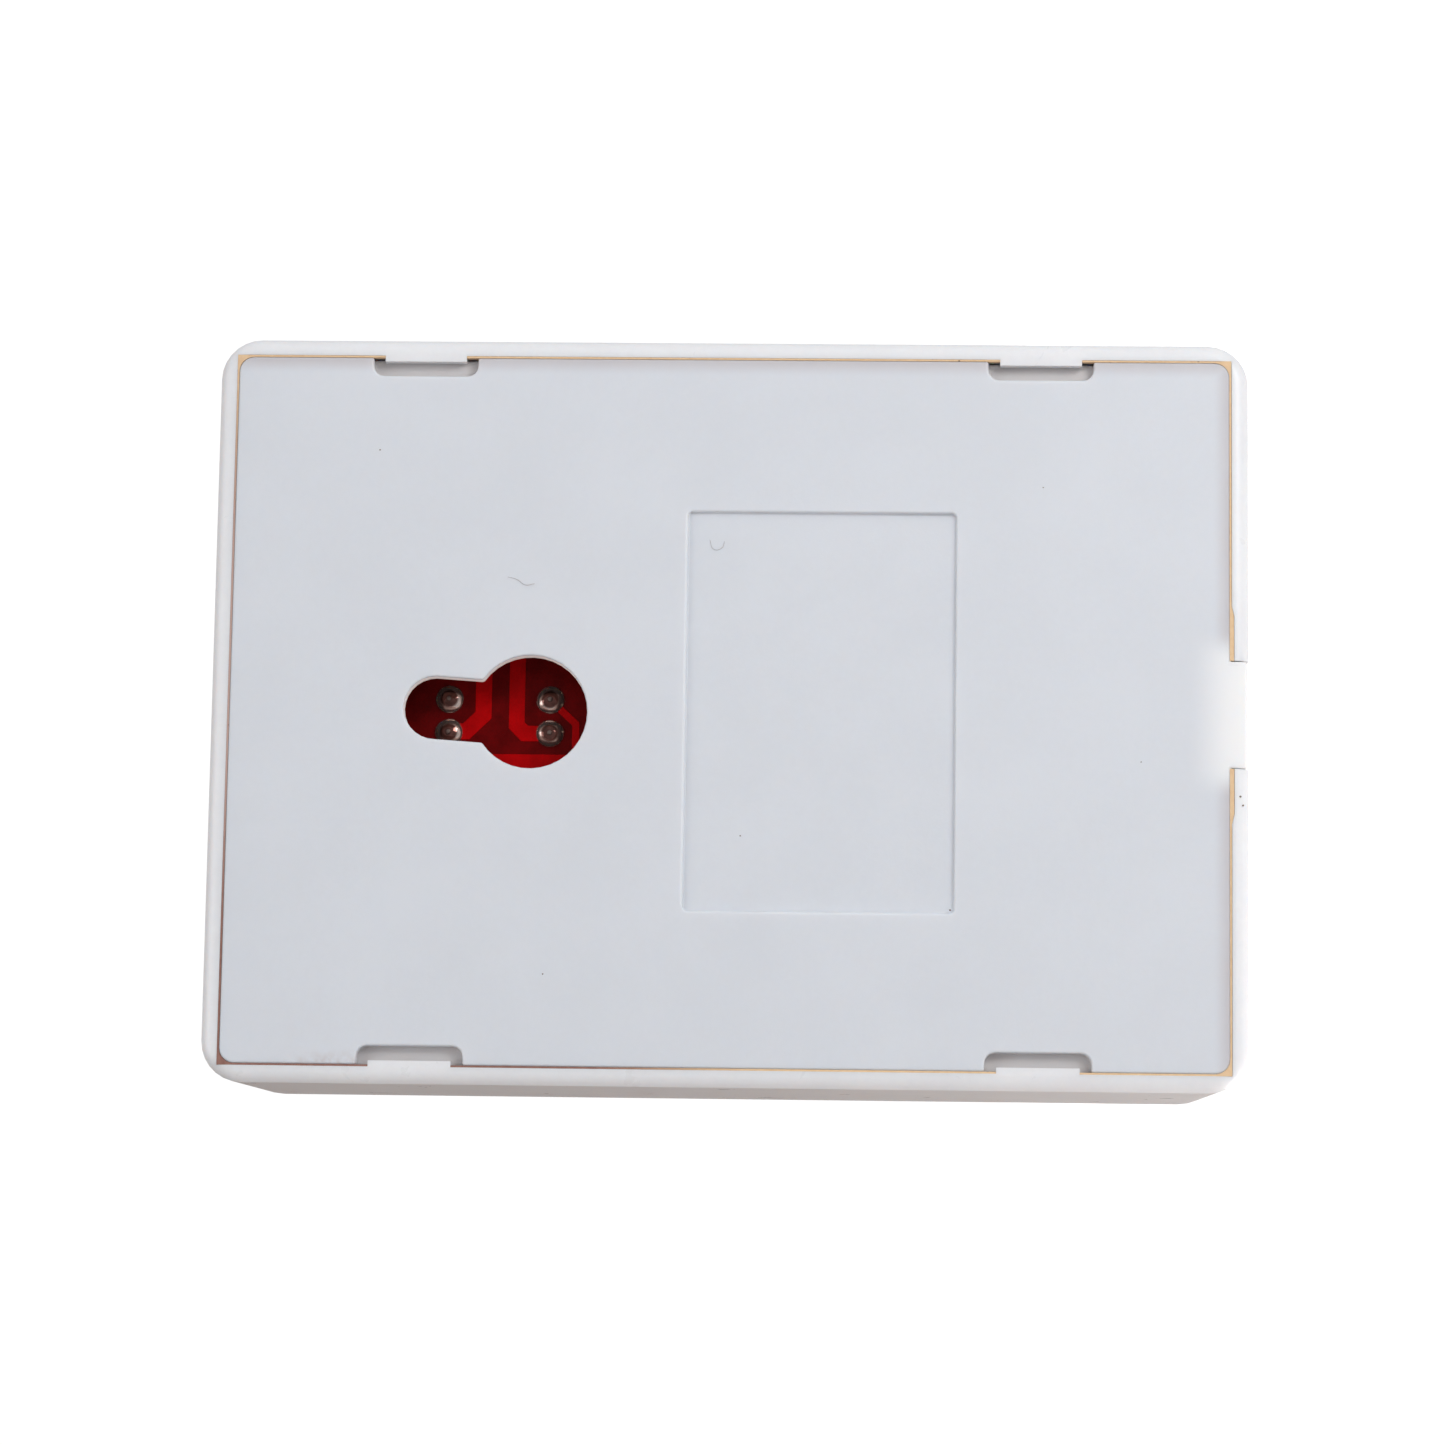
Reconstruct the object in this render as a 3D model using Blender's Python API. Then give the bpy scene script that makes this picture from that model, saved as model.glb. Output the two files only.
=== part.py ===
"""Manual call point: a wall unit with a hinged press panel, an alarm flag and a reset latch.

World frame: X across the unit, +Z up the wall, +Y towards the wall. The origin is where
the wall screw sits: the centre of the keyhole's round end, on the unit's rear plane.
Lengths are given in millimetres, and the shape helpers turn them into metres.
"""

import math

import bmesh
import bpy
from mathutils import Matrix, Vector

MM = 0.001

# The play left between neighbouring pieces, and how far a cut runs past what it cuts
CLEARANCE = 0.2
PAST = 1.0

# Casing: outer size at the rear plane, and how it narrows towards the front
CASE_WIDTH = 56.0
CASE_HEIGHT = 77.0
CASE_DEPTH = 18.0
CASE_DRAFT = 0.62
REAR_CORNER = 3.0
FRONT_CORNER = 3.8
CORNER_STEPS = 7
EDGE_STEPS = 5
REAR_EDGE_RADIUS = 1.3
REAR_EDGE_TURN = math.radians(56)
FRONT_EDGE_RADIUS = 1.0
RIM = 1.25
FRONT_WALL = 2.0
LEDGE = 1.45

# The keyhole, which sets where the casing lies round the origin
SLOT_RADIUS = 2.36
HEAD_RADIUS = 4.25
HEAD_DROP = 7.05
HEAD_SIDE = 0.24
KEYHOLE_WALL = 1.3
KEYHOLE_THINNED = ((-6.5, 6.5), (-13.5, 4.5))
SLOT_ABOVE_MIDDLE = 21.75

# Rear cover
COVER_THICKNESS = 1.8
COVER_GAP = 0.15
COVER_CORNER = 1.1
RECESS_WIDTH = 30.0
RECESS_HEIGHT = 20.0
RECESS_DEPTH = 0.4
RECESS_BELOW_MIDDLE = 6.83
NOTCH_WIDTH = 8.1
NOTCH_DEPTH = 6.1
RELIEF_END = 7.4
RELIEF_SLOPE = 0.8
RELIEF_DEPTH = 0.18
TONGUE_GAP = 0.06

# Snap tabs of the casing, and the stepped pockets of the cover below them
TAB_FROM_MIDDLE = 23.05
TAB_WIDTH = 6.1
TAB_REACH = 0.45
TAB_THICKNESS = 0.7
POCKET_WIDTH = 7.85
POCKET_REACH = 1.55
POCKET_DEPTH = 1.0
POCKET_CORNER = 0.8

# Circuit board
BOARD_REAR = -5.2
BOARD_THICKNESS = 1.6
BOARD_SIDE_GAP = 0.15
BOARD_END_GAP = 0.25
PITCH = 2.54

# Moving parts
PLUNGER_ARM = 8.5
PIN_OFFSET = 1.5

# Worked out from the sizes above
TOP = CASE_HEIGHT / 2 - SLOT_ABOVE_MIDDLE
BOTTOM = TOP - CASE_HEIGHT
MIDDLE = (TOP + BOTTOM) / 2
FRONT = -CASE_DEPTH
INNER_FRONT = FRONT + FRONT_WALL
BOARD_FRONT = BOARD_REAR - BOARD_THICKNESS
POCKET_HALF_X = CASE_WIDTH / 2 - RIM
POCKET_HALF_Z = CASE_HEIGHT / 2 - RIM
CAVITY_HALF_X = POCKET_HALF_X - LEDGE
CAVITY_HALF_Z = POCKET_HALF_Z - LEDGE

# Press panel and its window in the casing
WINDOW_HALF = 17.0
WINDOW_TOP = -1.75
WINDOW_BOTTOM = WINDOW_TOP - 2 * WINDOW_HALF - 0.2
PANEL_HALF = 16.7
PANEL_TOP = WINDOW_TOP - 0.35
PANEL_BOTTOM = PANEL_TOP - 2 * PANEL_HALF
PANEL_FRONT = FRONT + 0.8
PANEL_BACK = PANEL_FRONT + 2.2
HINGE = Vector((0.0, -13.6, -4.0))
HINGE_PIN_RADIUS = 0.75
HINGE_BRACKET = 3.0
HINGE_LUG_RADIUS = 1.8
CAM_CORNER_Y = -13.0

# Alarm flag, reset rotor and latch
FLAG_TOP = -37.2
FLAG_BOTTOM = -44.4
FLAG_HALF = 5.0
FLAG_THICKNESS = 1.2
FLAG_WINDOW = (-43.0, -40.5)
FLAG_WINDOW_HALF = 4.0
ROTOR = Vector((0.0, -15.3, -52.4))
ROTOR_RADIUS = 4.0
ROTOR_FLANGE_RADIUS = 4.85
ROTOR_HUB_RADIUS = 3.0
DRIVE_PIN_RADIUS = 0.8
LATCH_Y = (-12.6, -11.2)
LATCH_HALF = 10.0
LATCH_NOSE = 2.5
LATCH_SPRING_X = -6.0

# Status light: the LED and its lens
LIGHT_Z = 8.0
LENS_RADIUS = 1.6
LED_RADIUS = 1.5

# The four board screws, and the bosses they hold in
SCREW_X = 22.0
SCREW_Z = (10.0, -55.0)
BOSS_RADIUS = 2.5
BOSS_BORE_RADIUS = 1.05
SCREW_HOLE_RADIUS = 1.2
SCREW_SHANK_RADIUS = 0.9
SCREW_HEAD_RADIUS = 1.8

# Component leads and their solder joints
LEAD = 0.5
LEAD_HOLE_RADIUS = 0.5
LEAD_END = -3.95
SOLDER_RADIUS = 1.0
SOLDER_HEIGHT = 1.05


class Shape:
    """Closed primitives gathered in one mesh; sizes and places in millimetres."""

    def __init__(self):
        self.mesh = bmesh.new()

    def box(self, x, y, z, corner=0.0, segments=3):
        """A box between (low, high) pairs; corner rounds its four edges along Y."""
        low = Vector((x[0], y[0], z[0])) * MM
        high = Vector((x[1], y[1], z[1])) * MM
        place = Matrix.Translation((low + high) / 2) @ Matrix.Diagonal((*(high - low), 1))
        made = bmesh.ops.create_cube(self.mesh, size=1.0, matrix=place)["verts"]
        if corner:
            round_edges(self.mesh, edges_along_y(made), corner, segments)
        return self

    def rod(self, axis, centre, radius, span, sides=20, end_radius=None):
        """A cylinder along X, Y or Z over span, or a cone where end_radius is given."""
        turn = {
            "X": Matrix.Rotation(math.pi / 2, 4, "Y"),
            "Y": Matrix.Rotation(-math.pi / 2, 4, "X"),
            "Z": Matrix.Identity(4),
        }[axis]
        at = Vector(centre)
        at["XYZ".index(axis)] = (span[0] + span[1]) / 2
        bmesh.ops.create_cone(
            self.mesh,
            cap_ends=True,
            segments=sides,
            radius1=radius * MM,
            radius2=(radius if end_radius is None else end_radius) * MM,
            depth=(span[1] - span[0]) * MM,
            matrix=Matrix.Translation(at * MM) @ turn,
        )
        return self

    def prism(self, axis, outline, span):
        """An outline of two coordinates, in X, Y, Z order without axis, extruded over span."""
        index = "XYZ".index(axis)
        points = [list(p[:index]) + [span[0]] + list(p[index:]) for p in outline]
        face = self.mesh.faces.new([self.mesh.verts.new(Vector(p) * MM) for p in points])
        moved = bmesh.ops.extrude_face_region(self.mesh, geom=[face])["geom"]
        step = Vector((0.0, 0.0, 0.0))
        step[index] = (span[1] - span[0]) * MM
        verts = [item for item in moved if isinstance(item, bmesh.types.BMVert)]
        bmesh.ops.translate(self.mesh, vec=step, verts=verts)
        return self


def edges_along_y(verts):
    edges = {edge for vert in verts for edge in vert.link_edges}
    return [
        edge for edge in edges
        if abs(edge.verts[0].co.y - edge.verts[1].co.y) > 0.9 * edge.calc_length()
    ]


def round_edges(mesh, edges, radius, segments):
    bmesh.ops.bevel(
        mesh, geom=edges, offset=radius * MM, segments=segments, profile=0.5, affect="EDGES"
    )


def mirrored(low, high):
    """The same stretch on both sides of the middle plane, as two (low, high) pairs."""
    return (low, high), (-high, -low)


# ---------------------------------------------------------------- objects


def fresh_collection(name):
    group = bpy.data.collections.new(name)
    bpy.context.scene.collection.children.link(group)
    return group


def material(name, colour, roughness, metallic=0.0, transmission=0.0):
    made = bpy.data.materials.new(name)
    made.use_nodes = True
    shader = made.node_tree.nodes["Principled BSDF"]
    shader.inputs["Base Color"].default_value = (*colour, 1.0)
    shader.inputs["Roughness"].default_value = roughness
    shader.inputs["Metallic"].default_value = metallic
    shader.inputs["Transmission Weight"].default_value = transmission
    made.diffuse_color = (*colour, 1.0)
    return made


def mesh_object(name, shape, group):
    bmesh.ops.recalc_face_normals(shape.mesh, faces=shape.mesh.faces)
    mesh = bpy.data.meshes.new(name)
    shape.mesh.to_mesh(mesh)
    shape.mesh.free()
    made = bpy.data.objects.new(name, mesh)
    group.objects.link(made)
    return made


def boolean(target, shape, operation):
    """Joins a shape to the target, or cuts it away, with a live Boolean modifier."""
    tool = mesh_object(f"{target.name}_{operation.lower()}", shape, TOOLS)
    tool.hide_render = True
    tool.display_type = "WIRE"
    modifier = target.modifiers.new(operation.title(), "BOOLEAN")
    modifier.operation = operation
    modifier.solver = "EXACT"
    modifier.use_self = True
    modifier.object = tool


def part(name, shape, look, adds=None, cuts=None, axis_point=None):
    """One node. A moving one gives the point on its joint's axis as its origin."""
    made = mesh_object(name, shape, PARTS)
    made.data.materials.append(look)
    if axis_point is not None:
        made.data.transform(Matrix.Translation(-axis_point * MM))
        made.location = axis_point * MM
    if adds:
        boolean(made, adds, "UNION")
    if cuts:
        boolean(made, cuts, "DIFFERENCE")
    made.data.shade_smooth()
    made.data.set_sharp_from_angle(angle=math.radians(35))
    return made


def spring(name, axis, centre, span, radius, wire, turns, look):
    """A compression spring: one wire wound along the axis, closer at its two ends."""
    steps_per_turn = 12
    steps = turns * steps_per_turn
    curve = bpy.data.curves.new(name, "CURVE")
    curve.dimensions = "3D"
    curve.bevel_depth = wire / 2 * MM
    curve.bevel_resolution = 2
    curve.use_fill_caps = True
    line = curve.splines.new("POLY")
    line.points.add(steps)
    index = "XYZ".index(axis)
    low = span[0] + wire / 2
    length = span[1] - span[0] - wire
    closing = 1 - 1.15 * wire * turns / length
    for step, point in enumerate(line.points):
        angle = 2 * math.pi * step / steps_per_turn
        done = step / steps
        eased = done - closing * math.sin(2 * math.pi * done) / (2 * math.pi)
        offset = [radius * math.cos(angle), radius * math.sin(angle)]
        offset.insert(index, 0.0)
        at = Vector(centre) + Vector(offset)
        at[index] = low + length * eased
        point.co = (*(at * MM), 1.0)
    made = bpy.data.objects.new(name, curve)
    PARTS.objects.link(made)
    made.data.materials.append(look)


# ---------------------------------------------------------------- casing and cover


def casing_sections():
    """From the rear plane to the front: each level's y, half sizes and corner radius."""
    for step in range(EDGE_STEPS + 1):
        angle = REAR_EDGE_TURN * step / EDGE_STEPS
        yield casing_section(
            -REAR_EDGE_RADIUS * (1 - math.cos(angle)),
            REAR_EDGE_RADIUS * (math.sin(REAR_EDGE_TURN) - math.sin(angle)),
        )
    for step in range(EDGE_STEPS + 1):
        angle = math.pi / 2 * step / EDGE_STEPS
        yield casing_section(
            FRONT + FRONT_EDGE_RADIUS * (1 - math.sin(angle)),
            FRONT_EDGE_RADIUS * (1 - math.cos(angle)),
        )


def casing_section(y, inset):
    """The drafted wall's section at depth y, drawn in by inset."""
    done = y / FRONT
    narrower = CASE_DRAFT * done + inset
    radius = REAR_CORNER + (FRONT_CORNER - REAR_CORNER) * done - inset
    return y, CASE_WIDTH / 2 - narrower, CASE_HEIGHT / 2 - narrower, radius


def casing_outer():
    """The drafted outer block: a loft through rounded rectangles."""
    shape = Shape()
    rings = []
    for y, half_x, half_z, radius in casing_sections():
        ring = []
        for step in range(4 * (CORNER_STEPS + 1)):
            quarter, part_way = divmod(step, CORNER_STEPS + 1)
            angle = math.pi / 2 * (quarter + part_way / CORNER_STEPS)
            x = math.copysign(half_x - radius, (1, -1, -1, 1)[quarter]) + radius * math.cos(angle)
            z = math.copysign(half_z - radius, (1, 1, -1, -1)[quarter]) + radius * math.sin(angle)
            ring.append(shape.mesh.verts.new(Vector((x, y, MIDDLE + z)) * MM))
        rings.append(ring)
    for near, far in zip(rings, rings[1:]):
        for step in range(len(near)):
            following = (step + 1) % len(near)
            shape.mesh.faces.new((near[step], near[following], far[following], far[step]))
    shape.mesh.faces.new(rings[0])
    shape.mesh.faces.new(rings[-1])
    return shape


def casing_hollow():
    shape = Shape()
    shape.box(
        (-POCKET_HALF_X, POCKET_HALF_X),
        (BOARD_FRONT - CLEARANCE, PAST),
        (MIDDLE - POCKET_HALF_Z, MIDDLE + POCKET_HALF_Z),
    )
    shape.box(
        (-CAVITY_HALF_X, CAVITY_HALF_X),
        (INNER_FRONT, BOARD_REAR),
        (MIDDLE - CAVITY_HALF_Z, MIDDLE + CAVITY_HALF_Z),
        corner=1.5,
    )
    notch = (-NOTCH_WIDTH / 2, NOTCH_WIDTH / 2)
    wall = MIDDLE - POCKET_HALF_Z
    shape.box(notch, (-NOTCH_DEPTH, PAST), (BOTTOM - PAST, wall + LEDGE + 0.3))
    inside = wall + 0.5
    relief_start = NOTCH_WIDTH / 2 - 0.1
    relief = (
        (relief_start, inside),
        (relief_start, wall - RELIEF_DEPTH),
        (RELIEF_END, wall - RELIEF_DEPTH),
        (RELIEF_END + RELIEF_SLOPE, wall + 0.02),
        (RELIEF_END + RELIEF_SLOPE, inside),
    )
    for side in (-1, 1):
        shape.prism("Y", [(side * x, z) for x, z in relief], (-COVER_THICKNESS, PAST))
    return shape


def casing_fittings():
    """What stands inside the casing: tabs, screw bosses, hinge brackets, flag and latch guides."""
    shape = Shape()
    root = INNER_FRONT - 0.8
    for x in mirrored(POCKET_HALF_X - TAB_REACH, POCKET_HALF_X + 0.2):
        for z in (MIDDLE - TAB_FROM_MIDDLE, MIDDLE + TAB_FROM_MIDDLE):
            shape.box(x, (-TAB_THICKNESS, 0.0), (z - TAB_WIDTH / 2, z + TAB_WIDTH / 2))
    for x in (-SCREW_X, SCREW_X):
        for z in SCREW_Z:
            shape.rod("Y", (x, 0, z), BOSS_RADIUS, (root, BOARD_FRONT - CLEARANCE))
    for x in mirrored(WINDOW_HALF + 0.5, WINDOW_HALF + 0.5 + HINGE_BRACKET):
        shape.box(x, (root, HINGE.y + 1.9), (HINGE.z - 2.0, HINGE.z + 2.0))
    flag_foot = FLAG_BOTTOM - 1.0
    for x in mirrored(FLAG_HALF + 0.3, FLAG_HALF + 1.6):
        shape.box(x, (root, INNER_FRONT + 2.8), (flag_foot - 0.2, FLAG_TOP - 0.2))
        shape.box(x, (root, INNER_FRONT + 5.0), (flag_foot - 1.4, flag_foot + 0.1))
    seat = (INNER_FRONT + 1.7, INNER_FRONT + 4.95)
    shape.box((-FLAG_HALF - 0.8, FLAG_HALF + 0.8), seat, (flag_foot - 1.3, flag_foot))
    guide_y = LATCH_Y[1] + 1.0
    for guide in mirrored(LATCH_HALF + 0.3, LATCH_HALF + 1.8):
        shape.box(guide, (root, guide_y), (ROTOR.z + 3.4, ROTOR.z + 11.4))
    for lip in mirrored(LATCH_HALF - 1.2, LATCH_HALF + 1.4):
        shape.box(lip, (LATCH_Y[1] + 0.3, guide_y), (ROTOR.z + 5.9, ROTOR.z + 9.4))
    return shape


def casing_openings():
    """Openings in the front wall, and the holes in what stands behind it."""
    shape = Shape()
    through = (FRONT - PAST, INNER_FRONT + 0.02)
    shape.box((-WINDOW_HALF, WINDOW_HALF), through, (WINDOW_BOTTOM, WINDOW_TOP), corner=0.8)
    shape.box((-FLAG_WINDOW_HALF, FLAG_WINDOW_HALF), through, FLAG_WINDOW, corner=0.4)
    shape.rod("Y", (0, 0, LIGHT_Z), LENS_RADIUS + 0.15, through)
    shape.rod("Y", ROTOR, ROTOR_RADIUS + CLEARANCE, through, sides=32)
    pin_hole = (-WINDOW_HALF - 2.6, WINDOW_HALF + 0.5 + HINGE_BRACKET + 0.5)
    shape.rod("X", HINGE, HINGE_PIN_RADIUS + 0.1, pin_hole, sides=12)
    for x in (-SCREW_X, SCREW_X):
        for z in SCREW_Z:
            bore = (INNER_FRONT + 1.2, BOARD_FRONT)
            shape.rod("Y", (x, 0, z), BOSS_BORE_RADIUS, bore, sides=12)
    return shape


def front_casing(look):
    made = part("front_casing", casing_outer(), look)
    boolean(made, casing_hollow(), "DIFFERENCE")
    boolean(made, casing_fittings(), "UNION")
    boolean(made, casing_openings(), "DIFFERENCE")


def keyhole_outline():
    """The round end about the origin, the straight slot, and the head hole below it.

    The head hole's centre stands a little to one side of the slot's.
    """
    neck = math.asin(SLOT_RADIUS / HEAD_RADIUS)
    end_steps, head_steps = 14, 30
    outline = []
    for step in range(end_steps + 1):
        angle = math.pi * step / end_steps
        outline.append((SLOT_RADIUS * math.cos(angle), SLOT_RADIUS * math.sin(angle)))
    for step in range(head_steps + 1):
        angle = math.pi / 2 + neck + (2 * math.pi - 2 * neck) * step / head_steps
        across, along = HEAD_RADIUS * math.cos(angle), HEAD_RADIUS * math.sin(angle)
        outline.append((HEAD_SIDE + across, along - HEAD_DROP))
    return outline


def rear_cover(look):
    half_x = POCKET_HALF_X - COVER_GAP
    half_z = POCKET_HALF_Z - COVER_GAP
    plate = Shape().box(
        (-half_x, half_x),
        (-COVER_THICKNESS, 0.0),
        (MIDDLE - half_z, MIDDLE + half_z),
        corner=COVER_CORNER,
        segments=5,
    )
    adds = Shape()
    tongue = NOTCH_WIDTH / 2 - TONGUE_GAP
    tongue_foot = BOTTOM + COVER_GAP
    adds.box((-tongue, tongue), (-NOTCH_DEPTH + 0.3, 0.0), (tongue_foot, tongue_foot + RIM))
    adds.box((-tongue, tongue), (-COVER_THICKNESS, 0.0), (BOTTOM + 1.0, BOTTOM + 3.0))
    rib_half = 0.6
    rib_y = (BOARD_REAR + CLEARANCE, -COVER_THICKNESS + 0.5)
    for x in mirrored(8.0, 17.0):
        for z in (TOP - 4.2, BOTTOM + 6.5):
            adds.box(x, rib_y, (z - rib_half, z + rib_half))
    cuts = Shape()
    cuts.prism("Y", keyhole_outline(), (-COVER_THICKNESS - PAST, PAST))
    thinned_x, thinned_z = KEYHOLE_THINNED
    cuts.box(thinned_x, (-COVER_THICKNESS - PAST, -KEYHOLE_WALL), thinned_z, corner=1.0)
    recess_z = MIDDLE - RECESS_BELOW_MIDDLE
    cuts.box(
        (-RECESS_WIDTH / 2, RECESS_WIDTH / 2),
        (-RECESS_DEPTH, PAST),
        (recess_z - RECESS_HEIGHT / 2, recess_z + RECESS_HEIGHT / 2),
        corner=0.3,
        segments=2,
    )
    for x in mirrored(POCKET_HALF_X - POCKET_REACH, POCKET_HALF_X + 1.5):
        for z in (MIDDLE - TAB_FROM_MIDDLE, MIDDLE + TAB_FROM_MIDDLE):
            pocket = (z - POCKET_WIDTH / 2, z + POCKET_WIDTH / 2)
            cuts.box(x, (-POCKET_DEPTH, PAST), pocket, corner=POCKET_CORNER, segments=4)
    part("rear_cover", plate, look, adds, cuts)


# ---------------------------------------------------------------- board and components

# Where each component's leads pass the board: x and z of every hole
OPTO = (-0.2, -4.4)
SWITCH_Z = HINGE.z - PLUNGER_ARM
RESISTORS = {"load_resistor": (9.5, -21.0), "end_of_line_resistor": (-9.0, -21.0)}
DIODE = (-17.5, -42.0)
CAPACITOR = (-20.4, -25.0)
BLOCK = (17.5, -47.5)


def pair(centre, spacing, along):
    """Two lead positions round a centre, spaced along x or z."""
    x, z = centre
    if along == "x":
        return [(x - spacing / 2, z), (x + spacing / 2, z)]
    return [(x, z - spacing / 2), (x, z + spacing / 2)]


OPTO_LEADS = [at for side in pair(OPTO, PITCH, "x") for at in pair(side, 3 * PITCH, "z")]
SWITCH_LEADS = [(step * 2 * PITCH, SWITCH_Z) for step in (-1, 0, 1)]
LIGHT_LEADS = pair((0.0, LIGHT_Z), PITCH, "x")
DIODE_LEADS = pair(DIODE, 4 * PITCH, "z")
CAPACITOR_LEADS = pair(CAPACITOR, 2.0, "z")
BLOCK_LEADS = pair(BLOCK, 2 * PITCH, "x")


def circuit_board(look):
    half_x = POCKET_HALF_X - BOARD_SIDE_GAP
    half_z = POCKET_HALF_Z - BOARD_END_GAP
    board = Shape().box(
        (-half_x, half_x), (BOARD_FRONT, BOARD_REAR), (MIDDLE - half_z, MIDDLE + half_z)
    )
    cuts = Shape()
    through = (BOARD_FRONT - PAST, BOARD_REAR + PAST)
    leads = OPTO_LEADS + SWITCH_LEADS + LIGHT_LEADS + DIODE_LEADS + CAPACITOR_LEADS + BLOCK_LEADS
    for centre in RESISTORS.values():
        leads += pair(centre, 4 * PITCH, "x")
    for x, z in leads:
        cuts.rod("Y", (x, 0, z), LEAD_HOLE_RADIUS, through, sides=10)
    for x in (-SCREW_X, SCREW_X):
        for z in SCREW_Z:
            cuts.rod("Y", (x, 0, z), SCREW_HOLE_RADIUS, through, sides=14)
    edge = MIDDLE - half_z
    cuts.box((-4.5, 4.5), through, (edge - PAST, edge + 3.5), corner=0.6)
    part("circuit_board", board, look, cuts=cuts)


def add_lead(shape, at, start):
    """A lead from start down through the board, with its solder joint on the rear face."""
    x, z = at
    half = LEAD / 2
    shape.box((x - half, x + half), (start, LEAD_END), (z - half, z + half))
    joint = (BOARD_REAR + 0.05, BOARD_REAR + SOLDER_HEIGHT)
    shape.rod("Y", (x, 0, z), SOLDER_RADIUS, joint, sides=12, end_radius=0.4)


def optocoupler(look):
    x, z = OPTO
    body = Shape().box((x - 2.3, x + 2.3), (BOARD_FRONT - 4.0, BOARD_FRONT - 0.5), (z - 3.2, z + 3.2))
    leads = Shape()
    for at in OPTO_LEADS:
        add_lead(leads, at, BOARD_FRONT - 2.2)
        shoulder = sorted((at[1], z + math.copysign(3.0, at[1] - z)))
        leads.box(
            (at[0] - 0.4, at[0] + 0.4),
            (BOARD_FRONT - 2.4, BOARD_FRONT - 2.1),
            (shoulder[0] - 0.25, shoulder[1] + 0.25),
        )
    part("optocoupler", body, look, adds=leads)


def microswitch(body_look, plunger_look, metal):
    """The body with its well and three pin holes, the plunger, and the three terminals."""
    top = BOARD_FRONT - 6.6
    tip = top - 0.75
    half_x, half_z = 1.2, 0.65
    pin_half = 0.3
    body = Shape().box((-6.4, 6.4), (top, BOARD_FRONT - 0.1), (SWITCH_Z - 2.9, SWITCH_Z + 2.9))
    cuts = Shape()
    well_x, well_z = half_x + 0.15, half_z + 0.15
    cuts.box((-well_x, well_x), (top - PAST, top + 2.0), (SWITCH_Z - well_z, SWITCH_Z + well_z))
    hole = pin_half + 0.15
    for x, z in SWITCH_LEADS:
        depth = (BOARD_FRONT - 1.6, BOARD_FRONT + PAST)
        cuts.box((x - hole, x + hole), depth, (z - hole, z + hole))
    part("microswitch_body", body, body_look, cuts=cuts)
    plunger = Shape()
    plunger.box((-half_x, half_x), (tip, top + 1.1), (SWITCH_Z - half_z, SWITCH_Z + half_z))
    part("switch_plunger", plunger, plunger_look, axis_point=Vector((0.0, tip, SWITCH_Z)))
    for name, (x, z) in zip(("common", "open", "closed"), SWITCH_LEADS):
        length = (BOARD_FRONT - 1.5, BOARD_REAR + 0.6)
        pin = Shape().box((x - pin_half, x + pin_half), length, (z - pin_half, z + pin_half))
        joint = Shape()
        add_lead(joint, (x, z), BOARD_REAR)
        part(f"switch_terminal_{name}", pin, metal, adds=joint)


def axial(name, centre, along, radius, length, look):
    """A component lying on the board, with a lead bent down at each end."""
    x, z = centre
    level = BOARD_FRONT - radius - 0.3
    axis = along.upper()
    middle = centre["xz".index(along)]
    body = Shape().rod(
        axis, (x, level, z), radius, (middle - length / 2, middle + length / 2), sides=16
    )
    leads = Shape()
    reach = 2 * PITCH
    half = LEAD / 2
    wire = {"x": (x - half, x + half), "z": (z - half, z + half)}
    wire[along] = (middle - reach - half, middle + reach + half)
    leads.box(wire["x"], (level - half, level + half), wire["z"])
    for at in pair(centre, 2 * reach, along):
        add_lead(leads, at, level)
    part(name, body, look, adds=leads)


def capacitor(look):
    x, z = CAPACITOR
    body = Shape().rod("Y", (x, 0, z), 2.4, (BOARD_FRONT - 7.0, BOARD_FRONT - CLEARANCE), sides=24)
    leads = Shape()
    half = LEAD / 2 - 0.02
    length = (BOARD_FRONT - 1.0, LEAD_END)
    joint = (BOARD_REAR + 0.05, BOARD_REAR + 0.9)
    for lead_x, lead_z in CAPACITOR_LEADS:
        leads.box((lead_x - half, lead_x + half), length, (lead_z - half, lead_z + half))
        leads.rod("Y", (lead_x, 0, lead_z), 0.8, joint, sides=12, end_radius=0.35)
    part("capacitor", body, look, adds=leads)


def status_light(led_look, lens_look):
    collar = LED_RADIUS + 0.4
    body = Shape().rod("Y", (0, 0, LIGHT_Z), collar, (BOARD_FRONT - 1.2, BOARD_FRONT - CLEARANCE))
    extra = Shape().rod("Y", (0, 0, LIGHT_Z), LED_RADIUS, (BOARD_FRONT - 4.6, BOARD_FRONT - 0.9))
    for at in LIGHT_LEADS:
        add_lead(extra, at, BOARD_FRONT - 1.0)
    part("status_led", body, led_look, adds=extra)
    lens = Shape().rod("Y", (0, 0, LIGHT_Z), LENS_RADIUS, (FRONT, BOARD_FRONT - 5.0))
    flange_y = (INNER_FRONT + CLEARANCE, INNER_FRONT + CLEARANCE + 1.0)
    flange = Shape().rod("Y", (0, 0, LIGHT_Z), LENS_RADIUS + 0.8, flange_y)
    part("status_lens", lens, lens_look, adds=flange)


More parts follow.
